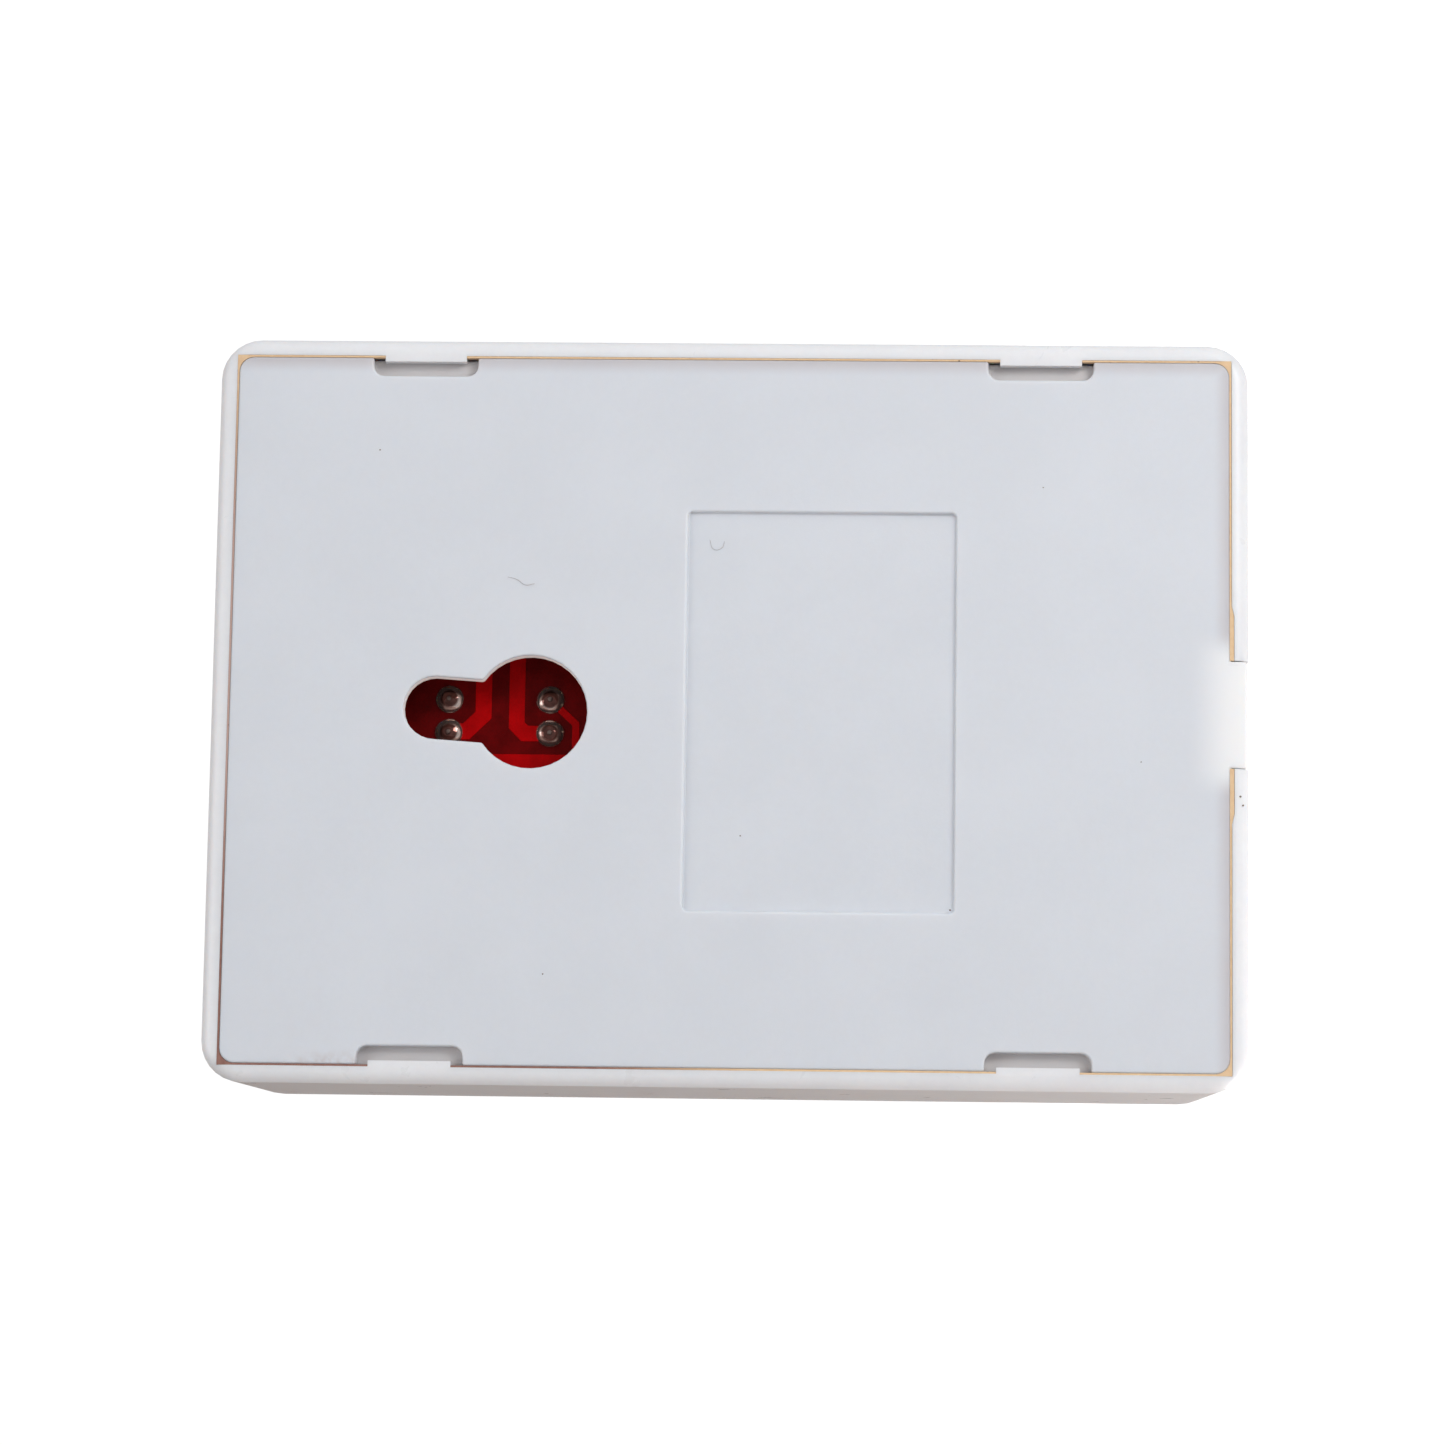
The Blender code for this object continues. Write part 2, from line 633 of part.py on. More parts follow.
def terminal_block(look, metal):
    """The block, and in each of its two poles a clamp screw over a contact plate."""
    x, z = BLOCK
    top = BOARD_FRONT - 7.6
    body = Shape().box((x - 5.0, x + 5.0), (top, BOARD_FRONT - CLEARANCE), (z - 4.0, z + 4.0))
    wire_way = (BOARD_FRONT - 4.2, BOARD_FRONT - 1.2)
    plate_y = (BOARD_FRONT - 1.7, BOARD_FRONT - 1.35)
    hole = 0.4
    screw_radius = 1.55
    cuts = Shape()
    for pole, (lead_x, lead_z) in enumerate(BLOCK_LEADS, start=1):
        cuts.box((lead_x - 1.5, lead_x + 1.5), wire_way, (z - 5.0, z + 2.5))
        shaft = (top - PAST, wire_way[0] + 0.2)
        cuts.rod("Y", (lead_x, 0, lead_z), screw_radius + 0.15, shaft, sides=16)
        pin_hole = (BOARD_FRONT - 2.0, BOARD_FRONT + PAST)
        cuts.box((lead_x - hole, lead_x + hole), pin_hole, (lead_z - hole, lead_z + hole))
        head = Shape().rod("Y", (lead_x, 0, lead_z), screw_radius, (top + 0.4, top + 2.0), sides=16)
        shank = Shape().rod("Y", (lead_x, 0, lead_z), 1.0, (top + 1.8, BOARD_FRONT - 3.4), sides=12)
        slot = Shape()
        slot.box((lead_x - 2.0, lead_x + 2.0), (top - PAST, top + 1.0), (lead_z - 0.25, lead_z + 0.25))
        part(f"clamp_screw_{pole}", head, metal, adds=shank, cuts=slot)
        plate = Shape().box((lead_x - 1.2, lead_x + 1.2), plate_y, (z - 3.4, z + 2.2))
        pin = Shape()
        add_lead(pin, (lead_x, lead_z), plate_y[0] + 0.2)
        part(f"clamp_contact_{pole}", plate, metal, adds=pin)
    part("terminal_block", body, look, cuts=cuts)


def board_screws(metal):
    head_y = (BOARD_REAR + 0.1, BOARD_REAR + 1.4)
    shank_y = (BOARD_FRONT - 5.0, BOARD_REAR + 0.4)
    cross_y = (BOARD_REAR + 0.9, BOARD_REAR + 2.0)
    long_half, short_half = 1.0, 0.2
    for column, x in (("left", -SCREW_X), ("right", SCREW_X)):
        for row, z in zip(("top", "bottom"), SCREW_Z):
            head = Shape().rod("Y", (x, 0, z), SCREW_HEAD_RADIUS, head_y, sides=18)
            shank = Shape().rod("Y", (x, 0, z), SCREW_SHANK_RADIUS, shank_y, sides=12)
            cross = Shape()
            for half_x, half_z in ((long_half, short_half), (short_half, long_half)):
                cross.box((x - half_x, x + half_x), cross_y, (z - half_z, z + half_z))
            part(f"board_screw_{row}_{column}", head, metal, adds=shank, cuts=cross)


# ---------------------------------------------------------------- mechanism


def press_panel(look):
    """The red panel: hinge lugs at its top, a boss over the switch, and the flag's cam."""
    plate = Shape().box(
        (-PANEL_HALF, PANEL_HALF), (PANEL_FRONT, PANEL_BACK), (PANEL_BOTTOM, PANEL_TOP), corner=0.6
    )
    adds = Shape()
    sunk = PANEL_BACK - 0.4
    web = HINGE_LUG_RADIUS - 0.1
    for x in mirrored(11.0, 15.0):
        adds.rod("X", HINGE, HINGE_LUG_RADIUS, x, sides=20)
        adds.box(x, (sunk, HINGE.y), (HINGE.z - web, HINGE.z + web))
    adds.box((-1.5, 1.5), (sunk, PANEL_BACK + 0.7), (SWITCH_Z - 1.0, SWITCH_Z + 1.0))
    adds.box((-2.0, 2.0), (sunk, CAM_CORNER_Y), (PANEL_BOTTOM + 0.1, PANEL_BOTTOM + 2.0))
    cuts = Shape().rod("X", HINGE, HINGE_PIN_RADIUS + 0.15, (-WINDOW_HALF, WINDOW_HALF), sides=16)
    part("press_panel", plate, look, adds, cuts, axis_point=HINGE)


def hinge_pin(metal):
    span = (-WINDOW_HALF - 2.4, WINDOW_HALF + 2.6)
    part("hinge_pin", Shape().rod("X", HINGE, HINGE_PIN_RADIUS, span, sides=16), metal)


def alarm_flag(look):
    """The flag plate, and the wedge behind the panel's cam that the panel drives down."""
    face = INNER_FRONT + CLEARANCE
    plate = Shape()
    plate.box((-FLAG_HALF, FLAG_HALF), (face, face + FLAG_THICKNESS), (FLAG_BOTTOM, FLAG_TOP))
    foot = PANEL_BOTTOM - 0.15
    wedge_y = (INNER_FRONT + 1.1, -10.3)
    ramp_start = foot - (CAM_CORNER_Y - (wedge_y[0] + 0.5))
    outline = [
        (wedge_y[0], ramp_start),
        (wedge_y[0] + 0.5, ramp_start),
        (wedge_y[1], foot + (wedge_y[1] - CAM_CORNER_Y)),
        (wedge_y[1], FLAG_TOP - 1.6),
        (wedge_y[0], FLAG_TOP - 1.6),
    ]
    wedge = Shape().prism("X", outline, (-3.0, 3.0))
    middle = Vector((0.0, face + FLAG_THICKNESS / 2, FLAG_TOP))
    part("alarm_flag", plate, look, adds=wedge, axis_point=middle)


def reset_rotor(look):
    """A drum flush in the front wall, its retaining flange, and the pin that drives the latch."""
    head = Shape().rod("Y", ROTOR, ROTOR_RADIUS, (FRONT + 0.3, ROTOR.y + 0.2), sides=32)
    adds = Shape()
    flange_y = (INNER_FRONT + CLEARANCE, INNER_FRONT + CLEARANCE + 1.0)
    adds.rod("Y", ROTOR, ROTOR_FLANGE_RADIUS, flange_y, sides=32)
    adds.rod("Y", ROTOR, ROTOR_HUB_RADIUS, (ROTOR.y - 0.2, LATCH_Y[0] - 0.3), sides=24)
    half_turn = PIN_OFFSET * math.sqrt(0.5)
    pin = ROTOR + Vector((half_turn, 0.0, half_turn))
    adds.rod("Y", pin, DRIVE_PIN_RADIUS, (LATCH_Y[0] - 0.6, LATCH_Y[1] + 0.5), sides=14)
    slot = Shape()
    slot_z = (ROTOR.z - 0.6, ROTOR.z + 0.6)
    slot.box((-2.6, 2.6), (FRONT - PAST, FRONT + 1.8), slot_z, corner=0.3)
    part("reset_rotor", head, look, adds, slot, axis_point=ROTOR)


def reset_latch(look):
    """A sliding fork: its two noses catch the pressed panel, its cross bar takes the rotor's pin."""
    bar = Shape().box((-LATCH_HALF, LATCH_HALF), LATCH_Y, (ROTOR.z - 2.4, ROTOR.z + 3.4))
    adds = Shape()
    nose_top = PANEL_BOTTOM - 0.2
    arm_top = nose_top - 0.8
    face = INNER_FRONT + 0.15
    for x in mirrored(LATCH_HALF - LATCH_NOSE, LATCH_HALF):
        adds.box(x, LATCH_Y, (ROTOR.z + 3.0, arm_top))
        adds.box(x, (face, LATCH_Y[0] + 0.2), (arm_top - 2.2, arm_top))
        adds.box(x, (face, face + 1.0), (arm_top - 0.4, nose_top))
    cuts = Shape()
    through = (LATCH_Y[0] - PAST, LATCH_Y[1] + PAST)
    half_turn = PIN_OFFSET * math.sqrt(0.5)
    window_half = DRIVE_PIN_RADIUS + 0.15
    window_z = (ROTOR.z + half_turn - window_half, ROTOR.z + half_turn + window_half)
    cuts.box((half_turn - window_half - 0.2, PIN_OFFSET + 1.0), through, window_z)
    spring_pocket = (LATCH_SPRING_X - 1.4, LATCH_SPRING_X + 1.4)
    cuts.box(spring_pocket, through, (ROTOR.z - 4.0, ROTOR.z + 0.5))
    part("reset_latch", bar, look, adds, cuts, axis_point=Vector((0.0, LATCH_Y[0], ROTOR.z)))


def springs(steel):
    panel_y = (PANEL_BACK + 0.15, BOARD_FRONT - 0.15)
    spring("panel_spring", "Y", (0, 0, -26.0), panel_y, 1.9, 0.45, 6, steel)
    spring("flag_spring", "Z", (0, -12.4, 0), (-45.15, FLAG_TOP - 1.75), 1.0, 0.3, 5, steel)
    latch_y = (LATCH_Y[0] + LATCH_Y[1]) / 2
    latch_z = (MIDDLE - CAVITY_HALF_Z + 0.15, ROTOR.z + 0.35)
    spring("latch_spring", "Z", (LATCH_SPRING_X, latch_y, 0), latch_z, 1.0, 0.35, 5, steel)


def clear_scene():
    for item in list(bpy.data.objects):
        bpy.data.objects.remove(item, do_unlink=True)


clear_scene()
PARTS = fresh_collection("manual_call_point")
TOOLS = fresh_collection("cutters")

WHITE = material("white_abs", (0.78, 0.79, 0.81), 0.42)
COVER_WHITE = material("cover_abs", (0.70, 0.72, 0.75), 0.45)
RED = material("press_panel_red", (0.55, 0.02, 0.02), 0.35)
BOARD_RED = material("board_red", (0.20, 0.01, 0.01), 0.35)
BLACK = material("black_nylon", (0.03, 0.03, 0.03), 0.5)
GREY = material("grey_acetal", (0.30, 0.31, 0.32), 0.45)
YELLOW = material("flag_yellow", (0.80, 0.55, 0.04), 0.5)
BLUE = material("sleeve_blue", (0.05, 0.10, 0.30), 0.4)
TAN = material("resistor_tan", (0.60, 0.45, 0.28), 0.5)
GREEN = material("block_green", (0.06, 0.28, 0.12), 0.45)
LENS = material("clear_lens", (0.85, 0.87, 0.88), 0.1, transmission=0.8)
LED_RED = material("led_red", (0.60, 0.03, 0.03), 0.15)
STEEL = material("plated_steel", (0.60, 0.60, 0.61), 0.3, metallic=1.0)

front_casing(WHITE)
rear_cover(COVER_WHITE)
circuit_board(BOARD_RED)
press_panel(RED)
hinge_pin(STEEL)
microswitch(BLACK, RED, STEEL)
alarm_flag(YELLOW)
reset_rotor(BLACK)
reset_latch(GREY)
springs(STEEL)
status_light(LED_RED, LENS)
optocoupler(BLACK)
for resistor, place in RESISTORS.items():
    axial(resistor, place, "x", 1.15, 6.3, TAN)
axial("diode", DIODE, "z", 1.3, 5.0, BLACK)
capacitor(BLUE)
terminal_block(GREEN, STEEL)
board_screws(STEEL)
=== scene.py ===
"""Looks of a manual call point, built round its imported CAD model.

The unit hangs on a wall: +Z is up, +Y points to the wall and -Y to the user. Its
rear cover, keyhole and circuit board are what the camera sees.
"""

import math

import bmesh
import bpy
from mathutils import Matrix, Vector, noise


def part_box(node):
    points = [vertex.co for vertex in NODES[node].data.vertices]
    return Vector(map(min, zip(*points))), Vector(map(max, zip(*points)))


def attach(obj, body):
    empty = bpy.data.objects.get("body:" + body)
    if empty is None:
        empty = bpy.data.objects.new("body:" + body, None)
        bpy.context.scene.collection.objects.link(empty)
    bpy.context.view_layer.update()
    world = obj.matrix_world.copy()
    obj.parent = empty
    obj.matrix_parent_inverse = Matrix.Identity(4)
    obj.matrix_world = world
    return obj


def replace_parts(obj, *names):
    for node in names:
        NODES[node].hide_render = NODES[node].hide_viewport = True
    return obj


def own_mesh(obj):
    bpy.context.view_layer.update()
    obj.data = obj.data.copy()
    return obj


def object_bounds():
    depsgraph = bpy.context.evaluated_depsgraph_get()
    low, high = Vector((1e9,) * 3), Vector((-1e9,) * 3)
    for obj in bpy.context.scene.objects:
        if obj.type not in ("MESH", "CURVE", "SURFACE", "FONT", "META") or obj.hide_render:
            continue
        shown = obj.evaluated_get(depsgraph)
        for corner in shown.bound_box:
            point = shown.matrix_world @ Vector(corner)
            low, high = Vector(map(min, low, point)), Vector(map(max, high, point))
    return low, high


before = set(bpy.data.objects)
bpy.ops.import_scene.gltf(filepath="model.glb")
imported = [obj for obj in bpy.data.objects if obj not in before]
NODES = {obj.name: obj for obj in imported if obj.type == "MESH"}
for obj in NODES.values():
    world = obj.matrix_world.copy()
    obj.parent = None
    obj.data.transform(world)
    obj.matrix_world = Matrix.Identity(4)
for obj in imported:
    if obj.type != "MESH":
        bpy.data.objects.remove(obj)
CAD_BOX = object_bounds()

MM = 0.001
CENTRE = (CAD_BOX[0] + CAD_BOX[1]) / 2

# Camera: a long lens that looks at the rear, with the unit lying on its side.
CAMERA_PLACE = Vector((59.7, 365.5, -34.25)) * MM
CAMERA_TARGET = Vector((0.94, 0.0, -21.36)) * MM
CAMERA_UP = Vector((-0.98723, 0.15904, 0.00929))
CAMERA_LENS = 124.6

# Circuit board, in millimetres.
LEAD_PITCH = 2.54
ROW_SPACING = 3 * LEAD_PITCH
LEADS_MIDDLE = (-0.2, -4.4)
COPPER = 0.05
MASK_MARGIN = 0.3
WIRE_BAY = (9.0, 3.5)

# Cover and casing, in millimetres. FOOT is the z of the cover's lower edge.
RIM = 1.25
SEAM = 0.15
SEAM_CLEARANCE = 0.005
FOOT = CAD_BOX[0].z / MM + RIM + SEAM
RECESS_FLOOR = -0.4
COVER_CORNER = 1.1
NOTCH_HALF = 4.05
RELIEF_END = 7.4
RELIEF_SLOPE = 0.8
RELIEF = 0.18
# Where the wall of the keyhole gets its painted glow.
GLOW_X = (-5.5, 5.5)
GLOW_Z = (-12.5, 3.5)

# The unit's lights: place, size, power and colour.
LIGHTS = {
    "key": ((-0.14, 0.26, -0.2), 0.12, 0.5, (1.0, 0.99, 0.98)),
    "left_fill": ((0.02, 0.3, 0.45), 0.3, 0.85, (1.0, 1.0, 1.0)),
    "side_card": ((0.09, -0.01, -0.13), 0.05, 0.085, (1.0, 0.96, 0.93)),
    "front_fill": ((0.13, -0.62, 0.35), 0.3, 3.2, (1.0, 0.99, 0.97)),
}
SKY_BRIGHT_SIDE = Vector((-0.6, 0.7, -0.4)).normalized()
SKY_STRENGTH = (0.1, 0.7)
SKY_WARM = (1.0, 0.72, 0.58, 1.0)
SKY_COOL = (0.965, 0.982, 1.0, 1.0)
BACKDROP_STRENGTH = 1.05


# ---------------------------------------------------------------- colours and node helpers


def linear(red, green, blue):
    """A colour given as 0-255 screen values, as the shader's linear RGBA."""

    def channel(value):
        value /= 255
        return value / 12.92 if value <= 0.04045 else ((value + 0.055) / 1.055) ** 2.4

    return (channel(red), channel(green), channel(blue), 1.0)


class Look:
    """A Principled material, with short calls that add procedural detail to it."""

    def __init__(self, name, roughness, metallic=0.0):
        self.material = bpy.data.materials.new(name)
        self.material.use_nodes = True
        self.tree = self.material.node_tree
        self.shader = self.tree.nodes["Principled BSDF"]
        self.shader.inputs["Roughness"].default_value = roughness
        self.shader.inputs["Metallic"].default_value = metallic
        self.place = self.node("TexCoord").outputs["Object"]
        self.base = None
        self.height = None

    def node(self, kind, **settings):
        made = self.tree.nodes.new("ShaderNode" + kind)
        for name, value in settings.items():
            setattr(made, name, value)
        return made

    def join(self, socket, value):
        """Link value to socket, or set it there if it is a constant."""
        if isinstance(value, bpy.types.NodeSocket):
            self.tree.links.new(value, socket)
        else:
            socket.default_value = value

    def noise(self, size, detail=3.0, rough=0.55, distortion=0.0, stretch=(1, 1, 1)):
        """Noise whose grains are about size millimetres across."""
        scaled = self.node("Mapping")
        scaled.inputs["Scale"].default_value = [1 / (size * MM * s) for s in stretch]
        self.join(scaled.inputs["Vector"], self.place)
        made = self.node("TexNoise")
        self.join(made.inputs["Vector"], scaled.outputs["Vector"])
        for socket, value in (
            ("Scale", 1.0), ("Detail", detail), ("Roughness", rough), ("Distortion", distortion)
        ):
            made.inputs[socket].default_value = value
        return made.outputs["Fac"]

    def cells(self, size):
        """Distance to the nearest point of a scatter about size millimetres apart."""
        made = self.node("TexVoronoi")
        self.join(made.inputs["Vector"], self.place)
        made.inputs["Scale"].default_value = 1 / (size * MM)
        return made.outputs["Distance"]

    def axis(self, name):
        """One coordinate, in millimetres."""
        apart = self.node("SeparateXYZ")
        self.join(apart.inputs["Vector"], self.place)
        return self.times(apart.outputs[name], 1 / MM)

    def maths(self, operation, first, second=0.0):
        made = self.node("Math", operation=operation)
        for socket, value in zip(made.inputs, (first, second)):
            self.join(socket, value)
        return made.outputs["Value"]

    def times(self, first, second):
        return self.maths("MULTIPLY", first, second)

    def ease(self, value, low, high, to_low=0.0, to_high=1.0):
        """A smooth step of value from low to high."""
        made = self.node("MapRange", interpolation_type="SMOOTHSTEP")
        for socket, setting in zip(made.inputs, (value, low, high, to_low, to_high)):
            self.join(socket, setting)
        return made.outputs["Result"]

    def between(self, value, low, high, soft=0.1):
        """1 where value is between low and high, 0 elsewhere."""
        above = self.ease(value, low - soft, low + soft)
        below = self.ease(value, high - soft, high + soft, 1.0, 0.0)
        return self.times(above, below)

    def mix(self, factor, first, second):
        """A colour that goes from first to second with factor."""
        made = self.node("Mix", data_type="RGBA")
        self.join(made.inputs[0], factor)
        self.join(made.inputs[6], first)
        self.join(made.inputs[7], second)
        return made.outputs[2]

    def number(self, factor, first, second):
        """A number that goes from first to second with factor."""
        made = self.node("Mix")
        for socket, value in zip(made.inputs[:1] + made.inputs[2:4], (factor, first, second)):
            self.join(socket, value)
        return made.outputs[0]

    def colour(self, value):
        self.join(self.shader.inputs["Base Color"], value)

    def roughness(self, value):
        self.join(self.shader.inputs["Roughness"], value)

    def metallic(self, value):
        self.join(self.shader.inputs["Metallic"], value)

    def bump(self, height, depth, strength=1.0):
        """Relief of depth millimetres; each call adds to the one before."""
        made = self.node("Bump")
        made.inputs["Distance"].default_value = depth * MM
        made.inputs["Strength"].default_value = strength
        self.join(made.inputs["Height"], height)
        if self.height is not None:
            self.join(made.inputs["Normal"], self.height)
        self.height = made.outputs["Normal"]
        self.join(self.shader.inputs["Normal"], self.height)


# ---------------------------------------------------------------- materials


def moulded(name, pale, dark, roughness=0.42, grain=0.006, grain_size=0.22, glow=0.0):
    """Moulded plastic: faint mottling, fine spark grain, and a few rubbed spots.

    glow is the share of light that passes under the surface.
    """
    look = Look(name, roughness)
    look.shader.inputs["Subsurface Weight"].default_value = glow
    look.shader.inputs["Subsurface Radius"].default_value = (1.0, 0.82, 0.7)
    look.shader.inputs["Subsurface Scale"].default_value = 1.1 * MM
    cloud = look.noise(9.0, detail=4.0)
    fine = look.noise(0.55, detail=5.0, rough=0.7)
    shade = look.maths("ADD", look.times(cloud, 0.62), look.times(fine, 0.38))
    look.base = look.mix(look.ease(shade, 0.34, 0.66), dark, pale)
    look.colour(look.base)
    rubbed = look.ease(look.noise(3.2, detail=6.0, distortion=0.6), 0.52, 0.7)
    look.roughness(look.number(rubbed, roughness, roughness - 0.09))
    look.bump(look.noise(grain_size, detail=4.0, rough=0.65), grain)
    look.bump(look.noise(14.0, detail=1.0), 0.03, 0.5)
    return look


def cover_edges():
    """x of the cover's +X edge, and z of the rim's inner edge below the cover."""
    low, high = limits("rear_cover")
    return high.x, low.z + RIM - SEAM


def painted_rim_shadow(look):
    """The cover's base colour with a painted shadow of the rim: darker next to the seam at its -X and lower
    edges, but not by the notch.
    """
    edge, foot = cover_edges()
    reach_x, reach_z, strength = 1.3, 1.5, 0.75
    near_side = look.ease(look.axis("X"), -edge, reach_x - edge, 1.0, 0.0)
    near_foot = look.ease(look.axis("Z"), foot, foot + reach_z, 1.0, 0.0)
    clear = look.between(look.axis("X"), -5.0, 5.0, 0.9)
    near_foot = look.times(near_foot, look.maths("SUBTRACT", 1.0, clear))
    near = look.maths("MAXIMUM", near_side, near_foot)
    patchy = look.number(look.noise(5.0, detail=3.0), 0.65, 1.0)
    amount = look.times(look.times(near, patchy), strength)
    return look.mix(amount, look.base, linear(190, 180, 182))


def cover_look():
    """Cool white plastic, with its tongue paler, partly as whiter plastic and partly as painted light where
    the rim casts no shadow, and the floors of its pockets painted greyer as shade.
    """
    look = moulded("cover_abs", linear(217, 220, 226), linear(214, 217, 223), 0.5, 0.007, glow=0.5)
    edge, foot = cover_edges()
    x, y, z = (look.axis(name) for name in "XYZ")
    # Painted shadow of the rim on the cover next to the seam.
    shaded = painted_rim_shadow(look)
    # Paler at the tongue and just above it: whiter plastic on the tongue, and painted light where the rim
    # casts no shadow on the cover.
    tongue = look.times(look.between(x, -5.2, 5.2, 1.2), look.ease(z, foot + 3.5, foot - 0.4))
    shaded = look.mix(tongue, shaded, linear(240, 240, 241))
    # Painted shade: the floors of the pockets, deeper than 0.45 mm, are painted a darker, warmer grey.
    shaded = look.mix(look.ease(y, -0.45, -0.9), shaded, linear(206, 202, 202))
    smudge = look.times(look.ease(x, edge - 1.3, edge), look.between(z, 4.4, 9.6, 1.6))
    smudge = look.times(smudge, look.ease(look.noise(0.8, detail=2.0), 0.34, 0.7))
    shaded = look.mix(look.times(smudge, 0.35), shaded, linear(176, 150, 140))
    stain = look.ease(look.noise(0.9, detail=6.0, rough=0.75), 0.66, 0.76)
    look.colour(look.mix(look.times(stain, 0.05), shaded, linear(150, 140, 130)))
    # Painted glow on the wall of the keyhole.
    painted_keyhole_glow(look)
    return look


def painted_keyhole_glow(look):
    """A painted glow: warm emission on the wall of the keyhole, standing in for light that comes through
    the thin plastic.
    """
    soft = 0.3
    across = look.between(look.axis("X"), *GLOW_X, soft)
    along = look.between(look.axis("Z"), *GLOW_Z, soft)
    wall = look.times(look.times(across, along), look.ease(look.axis("Y"), -0.1, -0.35))
    look.shader.inputs["Emission Color"].default_value = (1.0, 0.84, 0.76, 1.0)
    look.join(look.shader.inputs["Emission Strength"], look.times(wall, 0.3))


def casing_look():
    look = moulded("white_abs", linear(233, 233, 235), linear(228, 228, 231), 0.36, 0.004, glow=0.4)
    scuff = look.ease(look.noise(1.6, detail=8.0, rough=0.8, stretch=(1, 1, 3)), 0.64, 0.74)
    look.colour(look.mix(look.times(scuff, 0.06), look.base, linear(150, 140, 132)))
    return look


def seam_look():
    """Tan, turning dull red towards the +X and upper edges and fading away from +X."""
    look = Look("seam_strip", 0.7)
    x = look.axis("X")
    z = look.axis("Z")
    tan = look.mix(look.noise(0.5, detail=5.0), linear(214, 176, 136), linear(238, 208, 168))
    red = look.mix(look.noise(0.7, detail=4.0), linear(112, 66, 58), linear(168, 128, 114))
    toward_red = look.ease(look.maths("ADD", look.times(x, 0.75), z), -6.0, 9.0)
    base = look.mix(toward_red, tan, red)
    faded = look.times(toward_red, look.ease(x, 18.0, 2.0))
    base = look.mix(faded, base, linear(190, 160, 150))
    specks = look.ease(look.cells(0.55), 0.1, 0.2, 1.0, 0.0)
    sparse = look.ease(look.noise(1.9, detail=2.0), 0.56, 0.62)
    look.colour(look.mix(look.times(specks, sparse), base, linear(96, 62, 50)))
    look.roughness(look.number(look.noise(0.4), 0.6, 0.85))
    look.bump(look.noise(0.12, detail=4.0), 0.02)
    return look


def mask_look(name, shade, deep, bump_depth):
    """Red solder mask with weak reflections and a faint weave of glass threads under it."""
    look = Look(name, 0.3)
    look.shader.inputs["Specular IOR Level"].default_value = 0.04
    thread = 0.18
    blotch = look.ease(look.noise(1.6, detail=5.0, rough=0.6), 0.32, 0.7)
    threads = []
    for direction in "XZ":
        wave = look.node("TexWave", bands_direction=direction)
        look.join(wave.inputs["Vector"], look.place)
        wave.inputs["Scale"].default_value = 1 / (6.5 * thread * MM)
        wave.inputs["Distortion"].default_value = 0.6
        threads.append(wave.outputs["Fac"])
    weave = look.times(*threads)
    base = look.mix(blotch, deep, shade)
    look.colour(look.mix(look.times(weave, 0.16), base, deep))
    look.roughness(look.number(look.noise(0.7, detail=5.0), 0.2, 0.42))
    look.bump(weave, 0.004)
    look.bump(look.noise(0.5, detail=3.0), bump_depth)
    return look


def laminate_look():
    look = Look("board_laminate", 0.65)
    layers = look.maths("SINE", look.times(look.axis("Y"), 34.0))
    fibre = look.noise(0.25, detail=5.0, stretch=(6, 1, 6))
    shade = look.maths("ADD", look.times(layers, 0.2), fibre)
    look.colour(look.mix(look.ease(shade, 0.25, 0.8), linear(176, 142, 98), linear(216, 186, 142)))
    look.roughness(look.number(fibre, 0.55, 0.8))
    look.bump(fibre, 0.02)
    return look


def metal(name, pale, dark, roughness=0.3, size=0.5):
    """Plain or plated metal with faint stains and fine marks."""
    look = Look(name, roughness, 1.0)
    stain = look.ease(look.noise(size * 2.2, detail=5.0), 0.35, 0.7)
    look.colour(look.mix(stain, pale, dark))
    marks = look.noise(size * 0.3, detail=5.0)
    look.roughness(look.number(marks, roughness - 0.08, roughness + 0.14))
    look.bump(marks, 0.004)
    return look


def solder_look():
    """Smooth solder, its crown painted dark brown: a painted dark reflection, tinted by flux."""
    rear = limits("circuit_board")[1].y
    look = Look("solder", 0.14, 0.9)
    patch = look.ease(look.noise(0.6, detail=4.0, rough=0.5), 0.4, 0.66)
    bare = look.mix(patch, linear(214, 196, 188), linear(190, 168, 160))
    flux_and_painted_reflection = look.mix(patch, linear(100, 66, 60), linear(78, 50, 45))
    # Painted dark reflection tinted by flux: from 0.3 to 0.4 mm above the board's rear the solder turns
    # dark brown.
    look.colour(look.mix(look.ease(look.axis("Y"), rear + 0.3, rear + 0.4), bare, flux_and_painted_reflection))
    look.roughness(look.number(patch, 0.1, 0.18))
    look.bump(look.noise(0.5, detail=2.0, distortion=0.4), 0.008)
    return look


def leaded(name, pale, dark, lead_above, bands=(), roughness=0.45):
    """A component's body, with tinned leads and solder where y is above lead_above."""
    look = Look(name, roughness)
    y = look.axis("Y")
    body = look.mix(look.ease(look.noise(0.6, detail=4.0), 0.35, 0.65), dark, pale)
    z = look.axis("Z")
    for low, high, ring in bands:
        body = look.mix(look.between(z, low, high, 0.06), body, ring)
    is_lead = look.ease(y, lead_above - 0.05, lead_above + 0.05)
    tin = look.mix(look.noise(0.4, detail=4.0), linear(150, 144, 138), linear(206, 204, 200))
    look.colour(look.mix(is_lead, body, tin))
    look.metallic(is_lead)
    grain = look.noise(0.25, detail=4.0)
    look.roughness(look.number(is_lead, look.number(grain, roughness - 0.08, roughness + 0.1), 0.3))
    look.bump(grain, 0.008)
    return look


